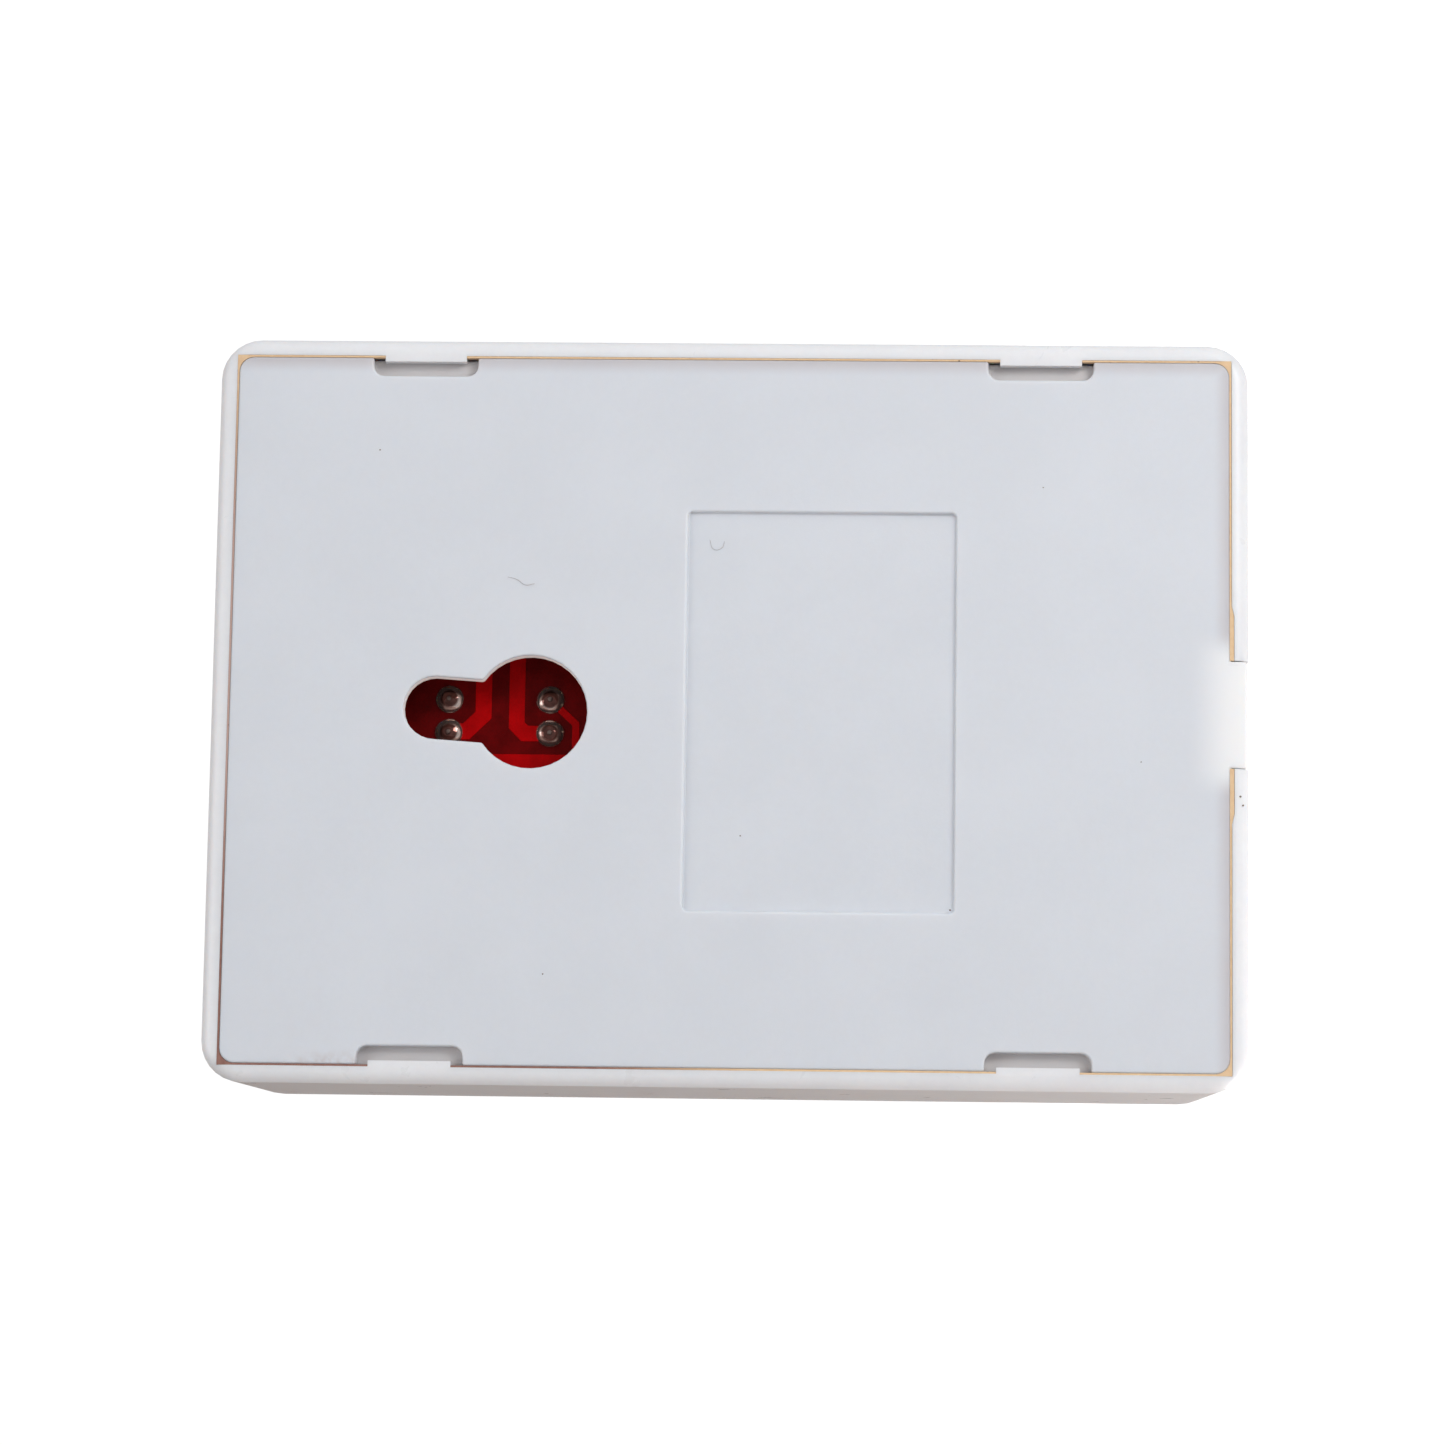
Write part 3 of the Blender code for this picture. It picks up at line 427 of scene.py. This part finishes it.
def painted(name, pale, dark, roughness=0.35, size=0.3):
    """Thin pad print or paint, slightly uneven at its surface."""
    look = Look(name, roughness)
    look.colour(look.mix(look.noise(size * 4, detail=5.0), dark, pale))
    look.roughness(look.number(look.noise(size, detail=4.0), roughness, roughness + 0.2))
    look.bump(look.noise(size, detail=4.0), 0.006)
    return look


def flag_look():
    """A black blade with a yellow band, which drops into the casing's window."""
    look = Look("flag_yellow", 0.45)
    foot = limits("alarm_flag")[0].z
    yellow = look.mix(look.noise(1.5, detail=4.0), linear(214, 158, 22), linear(238, 188, 44))
    black = look.mix(look.noise(1.5, detail=4.0), linear(26, 26, 27), linear(40, 40, 42))
    stripe = look.between(look.axis("Z"), foot + 2.6, foot + 5.6, 0.04)
    look.colour(look.mix(stripe, black, yellow))
    look.roughness(look.number(look.noise(0.4, detail=4.0), 0.36, 0.55))
    look.bump(look.noise(0.25, detail=4.0), 0.006)
    return look


def lens_look():
    """Clear acrylic."""
    look = Look("clear_lens", 0.06)
    look.shader.inputs["Transmission Weight"].default_value = 0.9
    look.shader.inputs["IOR"].default_value = 1.49
    look.colour(look.mix(look.noise(1.0, detail=3.0), linear(236, 238, 240), linear(250, 250, 250)))
    look.roughness(look.number(look.noise(0.6, detail=4.0), 0.06, 0.18))
    look.bump(look.noise(0.35, detail=3.0), 0.003)
    return look


# ---------------------------------------------------------------- mesh helpers


def mesh_piece(name, mesh, look, body):
    """Turn a bmesh in millimetres into a named piece that rides on a body."""
    bmesh.ops.recalc_face_normals(mesh, faces=mesh.faces)
    data = bpy.data.meshes.new(name)
    mesh.to_mesh(data)
    mesh.free()
    data.transform(Matrix.Scale(MM, 4))
    made = bpy.data.objects.new(name, data)
    bpy.context.scene.collection.objects.link(made)
    data.materials.append(look.material)
    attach(made, body)
    return made


def smooth(obj):
    obj.data.polygons.foreach_set("use_smooth", [True] * len(obj.data.polygons))
    return obj


def soften(obj, width, segments=3):
    """Round the sharp edges by width millimetres and smooth the rest."""
    smooth(obj)
    bevel = obj.modifiers.new("edges", "BEVEL")
    bevel.width = width * MM
    bevel.segments = segments
    bevel.limit_method = "ANGLE"
    bevel.angle_limit = math.radians(30.0)
    shade = obj.modifiers.new("normals", "WEIGHTED_NORMAL")
    shade.keep_sharp = True
    return obj


def dress(node, look, width, segments=3):
    """Show a CAD node: clean its flat faces, round its edges and give it a material."""
    obj = NODES[node]
    obj.data.materials.clear()
    obj.data.materials.append(look.material)
    weld = obj.modifiers.new("weld", "WELD")
    weld.merge_threshold = 0.002 * MM
    flat = obj.modifiers.new("flats", "DECIMATE")
    flat.decimate_type = "DISSOLVE"
    flat.angle_limit = math.radians(0.4)
    soften(obj, width, segments)


def add_prism(mesh, outline, low, high):
    """A closed slab from y low to high, over an outline of (x, z) points."""
    foot = [mesh.verts.new((x, low, z)) for x, z in outline]
    head = [mesh.verts.new((x, high, z)) for x, z in outline]
    mesh.faces.new(foot)
    mesh.faces.new(head)
    for step, point in enumerate(foot):
        following = (step + 1) % len(foot)
        mesh.faces.new((point, foot[following], head[following], head[step]))


def add_turned(mesh, centre, profile, sides=40, wobble=0.0, seed=0.0):
    """A turned solid along Y: profile is (radius, y) from one end to the other."""
    rings = []
    for radius, y in profile:
        if radius == 0:
            rings.append([mesh.verts.new((centre[0], y, centre[1]))])
            continue
        ring = []
        for step in range(sides):
            angle = 2 * math.pi * step / sides
            lumps = noise.noise(Vector((math.cos(angle), math.sin(angle), y + seed)) * 0.9)
            reach = radius * (1 + wobble * lumps)
            ring.append(
                mesh.verts.new(
                    (centre[0] + reach * math.cos(angle), y, centre[1] + reach * math.sin(angle))
                )
            )
        rings.append(ring)
    for near, far in zip(rings, rings[1:]):
        for step in range(sides):
            following = (step + 1) % sides
            if len(near) == 1:
                mesh.faces.new((near[0], far[step], far[following]))
            elif len(far) == 1:
                mesh.faces.new((near[step], near[following], far[0]))
            else:
                mesh.faces.new((near[step], near[following], far[following], far[step]))


def ribbon(points, width):
    """Outline of a track of even width along points, with mitred bends."""
    left, right = [], []
    points = [Vector(p) for p in points]
    for index, point in enumerate(points):
        before = (point - points[index - 1]).normalized() if index else None
        after = (points[index + 1] - point).normalized() if index + 1 < len(points) else None
        first = before or after
        second = after or before
        middle = (first + second).normalized()
        across = Vector((-middle.y, middle.x)) * (width / 2 / max(middle.dot(first), 0.5))
        left.append(point + across)
        right.append(point - across)
    return [tuple(p) for p in left + right[::-1]]


def arc(centre, radius, start, end, steps):
    for step in range(steps + 1):
        angle = math.radians(start + (end - start) * step / steps)
        yield centre[0] + radius * math.cos(angle), centre[1] + radius * math.sin(angle)


def rounded(x_low, x_high, z_low, z_high, radius, steps=6):
    """Outline of a rounded rectangle."""
    corners = (
        (x_high - radius, z_high - radius, 0),
        (x_low + radius, z_high - radius, 90),
        (x_low + radius, z_low + radius, 180),
        (x_high - radius, z_low + radius, 270),
    )
    return [p for x, z, turn in corners for p in arc((x, z), radius, turn, turn + 90, steps)]


def limits(node):
    """A node's lowest and highest corners, in millimetres."""
    low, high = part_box(node)
    return low / MM, high / MM


# ---------------------------------------------------------------- circuit board


def board_outline(inset):
    low, high = limits("circuit_board")
    bay_half = WIRE_BAY[0] / 2 + inset
    bay_top = low.z + WIRE_BAY[1] + inset
    x_low, x_high = low.x + inset, high.x - inset
    z_low, z_high = low.z + inset, high.z - inset
    return [
        (x_low, z_low), (-bay_half, z_low), (-bay_half, bay_top), (bay_half, bay_top),
        (bay_half, z_low), (x_high, z_low), (x_high, z_high), (x_low, z_high),
    ]


def board_pieces(leads):
    """Laminate, the mask on both faces, and the tracks that stand out under it."""
    low, high = limits("circuit_board")
    front, rear = low.y, high.y
    laminate = bmesh.new()
    add_prism(laminate, board_outline(0.0), front + COPPER, rear - COPPER)
    made = mesh_piece("board_laminate", laminate, laminate_look(), "root")
    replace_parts(soften(made, 0.08), "circuit_board")

    mask = mask_look("board_mask", linear(110, 4, 6), linear(86, 2, 3), 0.01)
    for name, span in (
        ("board_mask_rear", (rear - COPPER, rear)),
        ("board_mask_front", (front, front + COPPER)),
    ):
        sheet = bmesh.new()
        add_prism(sheet, board_outline(MASK_MARGIN), *span)
        mesh_piece(name, sheet, mask, "root")

    over_copper = mask_look("board_mask_copper", linear(190, 2, 7), linear(166, 0, 4), 0.006)
    upper_near, lower_near, upper_far, lower_far = leads
    ends = board_outline(MASK_MARGIN + 0.6)
    x_low, x_high = min(p[0] for p in ends), max(p[0] for p in ends)
    # Each track: its width, and the route of its middle line.
    tracks = {
        "track_a": (1.23, [
            (x_low, lower_near[1] - 2.58), (lower_near[0] - 1.35, lower_near[1] - 2.58),
            (lower_near[0] - 0.1, lower_near[1] - 1.3), (lower_near[0] - 0.1, lower_near[1]),
        ]),
        "track_b": (1.2, [
            (x_low, lower_far[1] + 2.52), (lower_far[0] - 0.6, lower_far[1] + 2.52),
            (lower_far[0] + 0.02, lower_far[1] + 1.9), (lower_far[0] + 0.02, lower_far[1]),
        ]),
        "track_c": (0.55, [
            upper_far, (upper_far[0] + 1.8, upper_far[1] - 1.95), (x_high, upper_far[1] - 1.95),
        ]),
        "track_d": (1.5, [
            (lower_far[0] + 2.35, ends[0][1] + 9.0), (lower_far[0] + 2.35, upper_near[1] + 9.0),
        ]),
    }
    for name, (width, route) in tracks.items():
        copper = bmesh.new()
        add_prism(copper, ribbon(route, width), rear - COPPER / 2, rear + COPPER)
        soften(mesh_piece(name, copper, over_copper, "root"), 0.04, 2)


def solder_joint(name, centre, seed, look):
    """A dome of solder over its pad; returns the height of its crown."""
    rear = limits("circuit_board")[1].y
    foot, edge_turn, steps = 1.06, math.radians(46), 14
    base = rear + COPPER + 0.01
    ball = foot / math.sin(edge_turn)
    profile = [(0, rear - 0.02), (foot * 0.9, rear - 0.02), (foot, rear + 0.015), (foot, base)]
    for step in range(1, steps):
        turn = edge_turn * (1 - step / steps)
        profile.append((ball * math.sin(turn), base + ball * (math.cos(turn) - math.cos(edge_turn))))
    crown = base + ball * (1 - math.cos(edge_turn))
    profile.append((0, crown))
    mesh = bmesh.new()
    add_turned(mesh, centre, profile, wobble=0.05, seed=seed)
    smooth(mesh_piece(name, mesh, look, "root"))
    return crown


def cut_lead(name, centre, crown, look):
    """The end of a lead, snipped off just above its solder."""
    radius, height = 0.2, 0.13
    profile = [
        (0, crown - 0.1), (radius, crown - 0.1), (radius, crown + height * 0.7),
        (radius * 0.8, crown + height), (0, crown + height * 0.9),
    ]
    mesh = bmesh.new()
    add_turned(mesh, centre, profile, sides=24, wobble=0.12, seed=crown)
    soften(mesh_piece(name, mesh, look, "root"), 0.02, 2)


def bent_lead(name, hole, start, level, end, look):
    """A flat lead: from the body at z start and y level to its hole, then through it to y end."""
    x, z = hole
    half, half_width = 0.12, 0.25
    inward = math.copysign(half, start - z)
    outline = [
        (start, level + half), (start, level - half), (z - inward, level - half),
        (z - inward, end), (z + inward, end), (z + inward, level + half),
    ]
    mesh = bmesh.new()
    sides = [
        [mesh.verts.new((edge, y, along)) for along, y in outline]
        for edge in (x - half_width, x + half_width)
    ]
    for side in sides:
        mesh.faces.new(side)
    for step in range(len(outline)):
        following = (step + 1) % len(outline)
        mesh.faces.new((sides[0][step], sides[0][following], sides[1][following], sides[1][step]))
    soften(mesh_piece(name, mesh, look, "root"), 0.05, 2)


def optocoupler_pieces(leads, solder):
    """The coupler's body, its four leads, and their solder on the board's rear."""
    top = limits("optocoupler")[0].y
    front, rear = (corner.y for corner in limits("circuit_board"))
    centre_x, centre_z = (sum(values) / len(leads) for values in zip(*leads))
    half_x, half_z, gap = 2.3, 3.2, 0.5
    outline = rounded(
        centre_x - half_x, centre_x + half_x, centre_z - half_z, centre_z + half_z, 0.25, 3
    )
    body = bmesh.new()
    add_prism(body, outline, top, front - gap)
    epoxy = moulded("black_epoxy", linear(44, 44, 46), linear(32, 32, 34), 0.5, 0.01, 0.15)
    made = mesh_piece("optocoupler_body", body, epoxy, "root")
    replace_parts(soften(made, 0.12), "optocoupler")
    tin = metal("tinned_leads", linear(208, 205, 200), linear(150, 146, 140), 0.28)
    dull = metal("cut_lead_ends", linear(120, 104, 98), linear(74, 60, 56), 0.35, size=0.2)
    level = (top + front - gap) / 2
    for index, (x, z) in enumerate(leads, start=1):
        start = z + math.copysign(0.9, centre_z - z)
        bent_lead(f"optocoupler_lead_{index}", (x, z), start, level, rear + 0.3, tin)
        crown = solder_joint(f"solder_joint_{index}", (x, z), 3.1 * index, solder)
        cut_lead(f"lead_end_{index}", (x, z), crown, dull)


# ---------------------------------------------------------------- seam, marks and symbol


def seam_lines():
    """The seam's inner and outer edges as (x, z) points, from one side of the notch to the other."""
    high = limits("rear_cover")[1]
    cover_x, cover_top, cover_foot = high.x + SEAM_CLEARANCE, high.z + SEAM_CLEARANCE, FOOT - SEAM_CLEARANCE
    room = SEAM - SEAM_CLEARANCE
    wall_x, wall_top, wall_foot = high.x + room, high.z + room, FOOT - room
    slope_end = RELIEF_END + RELIEF_SLOPE
    inner = [(NOTCH_HALF, cover_foot), (RELIEF_END, cover_foot), (slope_end, cover_foot)]
    outer = [(NOTCH_HALF, wall_foot - RELIEF), (RELIEF_END, wall_foot - RELIEF), (slope_end, wall_foot)]
    mirrored = [[(-x, z) for x, z in reversed(line)] for line in (inner, outer)]
    steps = 8
    for side_x, side_z, first in ((1, -1, -90), (1, 1, 0), (-1, 1, 90), (-1, -1, 180)):
        cover_z, wall_z = (cover_top, wall_top) if side_z > 0 else (cover_foot, wall_foot)
        centre = (side_x * (cover_x - COVER_CORNER), cover_z - side_z * COVER_CORNER)
        to_wall = (wall_x - side_x * centre[0], abs(wall_z - centre[1]))
        for step, point in enumerate(arc(centre, COVER_CORNER, first, first + 90, steps)):
            turn = math.radians(first + 90 * step / steps)
            reach = 1 / max(abs(math.cos(turn)), abs(math.sin(turn)))
            inner.append(point)
            outer.append(
                (
                    centre[0] + to_wall[0] * reach * math.cos(turn),
                    centre[1] + to_wall[1] * reach * math.sin(turn),
                )
            )
    return inner + mirrored[0], outer + mirrored[1]


def seam_piece():
    """A thin strip at the bottom of the seam round the cover, open at the notch."""
    inner, outer = seam_lines()
    top, bottom = -0.05, -0.5
    mesh = bmesh.new()
    rows = [
        [mesh.verts.new((x, y, z)) for x, z in line]
        for line, y in ((inner, top), (outer, top), (outer, bottom), (inner, bottom))
    ]
    for step in range(len(inner) - 1):
        for near, far in zip(rows, rows[1:] + rows[:1]):
            mesh.faces.new((near[step], near[step + 1], far[step + 1], far[step]))
    for end in (0, -1):
        mesh.faces.new([row[end] for row in rows])
    mesh_piece("seam_strip", mesh, seam_look(), "root")


def fibre(name, points, radius, look):
    """A stray fibre lying on the cover, smoothed through its points (x, y, z)."""
    curve = bpy.data.curves.new(name + "_line", "CURVE")
    curve.dimensions = "3D"
    curve.bevel_depth = radius * MM
    curve.bevel_resolution = 2
    curve.use_fill_caps = True
    line = curve.splines.new("BEZIER")
    line.bezier_points.add(len(points) - 1)
    for knot, point in zip(line.bezier_points, points):
        knot.co = Vector(point) * MM
        knot.handle_left_type = knot.handle_right_type = "AUTO"
    holder = bpy.data.objects.new(name + "_line", curve)
    bpy.context.scene.collection.objects.link(holder)
    data = bpy.data.meshes.new_from_object(holder)
    bpy.data.objects.remove(holder)
    made = bpy.data.objects.new(name, data)
    bpy.context.scene.collection.objects.link(made)
    data.materials.clear()
    data.materials.append(look.material)
    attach(made, "root")
    smooth(made)


def speck(name, at, radius, look, seed):
    """A flat crumb of dust lying on the cover."""
    mesh = bmesh.new()
    bmesh.ops.create_icosphere(mesh, subdivisions=3, radius=1.0)
    for vert in mesh.verts:
        lump = 1 + 0.45 * noise.noise(vert.co * 1.7 + Vector((seed, 0, 0)))
        x, y, z = vert.co * radius * lump
        vert.co = Vector(at) + Vector((x, y * 0.35, z * 1.2))
    smooth(mesh_piece(name, mesh, look, "root"))


def dust():
    """Two fibres and a few crumbs on the cover, in its recess and on the rim."""
    hair = painted("dust_fibre", linear(196, 190, 190), linear(160, 152, 154), 0.6, 0.1)
    crumb = painted("dust_crumb", linear(140, 122, 110), linear(96, 84, 78), 0.7, 0.05)
    long_fibre = [(-9.9, 0.02, -5.2), (-9.7, 0.03, -5.9), (-9.3, 0.02, -6.5), (-9.4, 0.03, -7.2)]
    fibre("fibre_long", long_fibre, 0.018, hair)
    curl = [(-12.9, -20.2), (-12.2, -20.5), (-12.3, -21.1), (-12.8, -21.3)]
    lifts = (0.02, 0.03, 0.02, 0.03)
    curl = [(x, RECESS_FLOOR + lift, z) for (x, z), lift in zip(curl, lifts)]
    fibre("fibre_curl", curl, 0.016, hair)
    crumbs = (
        (9.34, RECESS_FLOOR, -22.78, 0.05), (14.75, 0.0, -38.3, 0.06),
        (-5.24, RECESS_FLOOR, -17.96, 0.045), (6.1, -0.03, -59.6, 0.07),
        (6.75, -0.1, -59.8, 0.06), (-19.5, 0.0, 4.6, 0.05), (19.8, 0.0, -8.4, 0.05),
        (3.6, 0.0, -52.3, 0.04), (-17.0, 0.0, -45.0, 0.04),
    )
    for index, (x, y, z, radius) in enumerate(crumbs, start=1):
        speck(f"dust_{index}", (x, y, z), radius, crumb, 2.3 * index)


def panel_symbol():
    """A dot between two arrows that point at it, printed on the press panel."""
    low, high = limits("press_panel")
    centre_z = (low.z + high.z) / 2
    ink = painted("white_print", linear(240, 240, 238), linear(226, 225, 222), 0.4, 0.3)
    tip, neck, tail = 4.6, 7.6, 12.2
    head, shaft = 2.7, 1.0
    arrow = (
        (tip, 0.0), (neck, head), (neck, shaft), (tail, shaft),
        (tail, -shaft), (neck, -shaft), (neck, -head),
    )
    shapes = {"symbol_dot": list(arc((0, centre_z), 2.6, 0, 360 - 7.5, 47))}
    for name, side in (("symbol_arrow_left", -1), ("symbol_arrow_right", 1)):
        shapes[name] = [(side * x, centre_z + z) for x, z in arrow]
    for name, outline in shapes.items():
        mesh = bmesh.new()
        add_prism(mesh, outline, low.y - 0.04, low.y + 0.02)
        soften(mesh_piece(name, mesh, ink, "panel"), 0.02, 2)


# ---------------------------------------------------------------- springs


def coil(node, axis, wire, turns, fixed_end, look):
    """A wound spring, built in place of its CAD node."""
    low, high = limits(node)
    index = "XYZ".index(axis)
    cross = [i for i in range(3) if i != index]
    centre = (low + high) / 2
    radius = (high[cross[0]] - low[cross[0]] - wire) / 2
    start, end = low[index] + wire / 2, high[index] - wire / 2
    per_turn, sides = 36, 12
    steps = turns * per_turn
    closing = 1 - 1.15 * wire * turns / (end - start)
    line = []
    for step in range(steps + 1):
        done = step / steps
        eased = done - closing * math.sin(2 * math.pi * done) / (2 * math.pi)
        angle = 2 * math.pi * step / per_turn
        point = Vector(centre)
        point[index] = start + (end - start) * eased
        point[cross[0]] += radius * math.cos(angle)
        point[cross[1]] += radius * math.sin(angle)
        line.append(point)
    mesh = bmesh.new()
    rings = []
    for step, point in enumerate(line):
        ahead = (line[min(step + 1, steps)] - line[max(step - 1, 0)]).normalized()
        out = point - centre
        out[index] = 0.0
        out = (out - ahead * out.dot(ahead)).normalized()
        over = ahead.cross(out)
        ring = []
        for side in range(sides):
            turn = 2 * math.pi * side / sides
            around = out * math.cos(turn) + over * math.sin(turn)
            ring.append(mesh.verts.new(point + around * wire / 2))
        rings.append(ring)
    for near, far in zip(rings, rings[1:]):
        for side in range(sides):
            following = (side + 1) % sides
            mesh.faces.new((near[side], near[following], far[following], far[side]))
    mesh.faces.new(rings[0])
    mesh.faces.new(rings[-1])
    made = smooth(mesh_piece(node + "_coil", mesh, look, "root"))
    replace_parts(made, node)
    anchor = list(centre * MM)
    anchor[index] = (low[index] if fixed_end == "low" else high[index]) * MM
    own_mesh(made)


def springs():
    steel = metal("spring_wire", linear(188, 186, 182), linear(120, 116, 112), 0.26, size=0.3)
    coil("panel_spring", "Y", 0.45, 6, fixed_end="high", look=steel)
    coil("flag_spring", "Z", 0.3, 5, fixed_end="low", look=steel)
    coil("latch_spring", "Z", 0.35, 5, fixed_end="low", look=steel)


# ---------------------------------------------------------------- carried-over CAD nodes


def dress_shells():
    dress("front_casing", casing_look(), 0.22, 4)
    dress("rear_cover", cover_look(), 0.16)
    dress("press_panel", moulded("press_red", linear(186, 18, 24), linear(172, 12, 18), 0.32), 0.3, 4)
    dress("status_lens", lens_look(), 0.08)


def dress_mechanism():
    grey = moulded("grey_acetal", linear(150, 152, 156), linear(138, 140, 144), 0.42)
    black = moulded("black_nylon", linear(40, 40, 42), linear(30, 30, 32), 0.48)
    red = moulded("plunger_red", linear(176, 24, 20), linear(158, 18, 16), 0.4)
    green = moulded("block_green", linear(52, 126, 74), linear(42, 110, 62), 0.42)
    dress("alarm_flag", flag_look(), 0.1)
    dress("reset_rotor", grey, 0.15)
    dress("reset_latch", grey, 0.12)
    dress("microswitch_body", black, 0.15)
    dress("switch_plunger", red, 0.06)
    dress("terminal_block", green, 0.15)


def dress_metal():
    steel = metal("plated_steel", linear(200, 200, 202), linear(158, 157, 158), 0.28)
    screws = [f"board_screw_{level}_{side}" for side in ("left", "right") for level in ("top", "bottom")]
    for node in ("hinge_pin", "clamp_screw_1", "clamp_screw_2", *screws):
        dress(node, steel, 0.06)
    tinned = metal("tinned_brass", linear(212, 206, 190), linear(168, 158, 138), 0.3)
    terminals = [f"switch_terminal_{name}" for name in ("common", "open", "closed")]
    for node in (*terminals, "clamp_contact_1", "clamp_contact_2"):
        dress(node, tinned, 0.04)


def dress_components():
    """Resistors with colour bands, a diode with its pale band, a capacitor and an LED."""
    front = limits("circuit_board")[0].y
    tan, tan_dark = linear(208, 180, 140), linear(192, 162, 120)
    brown, gold, ink = linear(96, 52, 30), linear(190, 150, 60), linear(34, 30, 30)
    spacing, width = 1.3, 0.5
    for node, rings in (
        ("load_resistor", (brown, ink, brown, gold)),
        ("end_of_line_resistor", (ink, brown, ink, gold)),
    ):
        low, high = limits(node)
        first = (low.z + high.z) / 2 - 2.2
        bands = [
            (first + spacing * step, first + spacing * step + width, ring)
            for step, ring in enumerate(rings)
        ]
        dress(node, leaded(node + "_body", tan, tan_dark, front - 0.45, bands), 0.05)
    low, high = limits("diode")
    middle = (low.z + high.z) / 2
    pale_band = [(middle + 0.9, middle + 1.5, linear(200, 200, 202))]
    charcoal, black = linear(40, 39, 40), linear(28, 27, 28)
    dress("diode", leaded("diode_body", charcoal, black, front - 0.4, pale_band), 0.05)
    sleeve = leaded("capacitor_body", linear(40, 66, 120), linear(30, 52, 100), front - 0.2)
    dress("capacitor", sleeve, 0.08)
    dress("status_led", leaded("led_body", linear(190, 30, 32), linear(170, 20, 24), front - 3.0), 0.06)


# ---------------------------------------------------------------- stage


def area_light(name, place, size, power, colour):
    """A square softbox that faces the unit's middle."""
    lamp = bpy.data.lights.new(name, "AREA")
    lamp.shape = "SQUARE"
    lamp.size = size
    lamp.energy = power
    lamp.color = colour
    holder = bpy.data.objects.new(name, lamp)
    bpy.context.scene.collection.objects.link(holder)
    holder.location = place
    holder.rotation_mode = "QUATERNION"
    holder.rotation_quaternion = (CENTRE - Vector(place)).to_track_quat("-Z", "Y")


def studio():
    """Plain white behind the unit; for the unit itself, a soft sky that is brighter to one side."""
    scene = bpy.context.scene
    scene.view_settings.view_transform = "Standard"
    scene.view_settings.look = "None"
    world = bpy.data.worlds.new("studio")
    world.use_nodes = True
    scene.world = world
    tree = world.node_tree
    tree.nodes.clear()
    link = tree.links.new

    lean = tree.nodes.new("ShaderNodeVectorMath")
    lean.operation = "DOT_PRODUCT"
    lean.inputs[1].default_value = SKY_BRIGHT_SIDE
    link(tree.nodes.new("ShaderNodeTexCoord").outputs["Generated"], lean.inputs[0])
    strength = tree.nodes.new("ShaderNodeMapRange")
    tint = tree.nodes.new("ShaderNodeMapRange")
    for node, settings in ((strength, (-1.0, 1.0, *SKY_STRENGTH)), (tint, (-0.8, 0.2, 0.0, 1.0))):
        link(lean.outputs["Value"], node.inputs[0])
        for socket, value in zip(node.inputs[1:5], settings):
            socket.default_value = value
    blend = tree.nodes.new("ShaderNodeMix")
    blend.data_type = "RGBA"
    blend.inputs[6].default_value = SKY_WARM
    blend.inputs[7].default_value = SKY_COOL
    link(tint.outputs["Result"], blend.inputs[0])

    sky = tree.nodes.new("ShaderNodeBackground")
    link(blend.outputs[2], sky.inputs["Color"])
    link(strength.outputs["Result"], sky.inputs["Strength"])
    white = tree.nodes.new("ShaderNodeBackground")
    white.inputs["Color"].default_value = (1.0, 1.0, 1.0, 1.0)
    white.inputs["Strength"].default_value = BACKDROP_STRENGTH
    chosen = tree.nodes.new("ShaderNodeMixShader")
    link(tree.nodes.new("ShaderNodeLightPath").outputs["Is Camera Ray"], chosen.inputs["Fac"])
    link(sky.outputs["Background"], chosen.inputs[1])
    link(white.outputs["Background"], chosen.inputs[2])
    link(chosen.outputs["Shader"], tree.nodes.new("ShaderNodeOutputWorld").inputs["Surface"])

    for name, settings in LIGHTS.items():
        area_light(name, *settings)


def floor():
    """A plain white floor under the unit, which neither shades it nor lights it."""
    half_size = 3.0
    mesh = bmesh.new()
    bmesh.ops.create_grid(mesh, x_segments=1, y_segments=1, size=half_size)
    data = bpy.data.meshes.new("floor")
    mesh.to_mesh(data)
    mesh.free()
    made = bpy.data.objects.new("floor", data)
    made.location.z = CAD_BOX[0].z
    bpy.context.scene.collection.objects.link(made)
    material = bpy.data.materials.new("floor")
    material.use_nodes = True
    shader = material.node_tree.nodes["Principled BSDF"]
    shader.inputs["Base Color"].default_value = (0.3, 0.3, 0.3, 1.0)
    shader.inputs["Roughness"].default_value = 1.0
    shader.inputs["Specular IOR Level"].default_value = 0.0
    shader.inputs["Emission Color"].default_value = (1.0, 1.0, 1.0, 1.0)
    shader.inputs["Emission Strength"].default_value = 1.0
    data.materials.append(material)
    made.visible_shadow = False
    made.visible_diffuse = False
    made.visible_glossy = False


def camera():
    lens = bpy.data.cameras.new("camera")
    lens.lens = CAMERA_LENS
    lens.sensor_width = 36.0
    lens.clip_start = 0.01
    lens.clip_end = 20.0
    made = bpy.data.objects.new("camera", lens)
    bpy.context.scene.collection.objects.link(made)
    ahead = (CAMERA_TARGET - CAMERA_PLACE).normalized()
    right = ahead.cross(CAMERA_UP).normalized()
    up = right.cross(ahead)
    turned = Matrix((right, up, -ahead)).transposed().to_4x4()
    turned.translation = CAMERA_PLACE
    made.matrix_world = turned
    bpy.context.scene.camera = made


LEADS = [
    (LEADS_MIDDLE[0] + side_x * LEAD_PITCH / 2, LEADS_MIDDLE[1] + side_z * ROW_SPACING / 2)
    for side_z in (1, -1)
    for side_x in (-1, 1)
]

camera()
studio()
floor()
dress_shells()
dress_mechanism()
dress_metal()
dress_components()
board_pieces(LEADS)
optocoupler_pieces(LEADS, solder_look())
seam_piece()
dust()
panel_symbol()
springs()
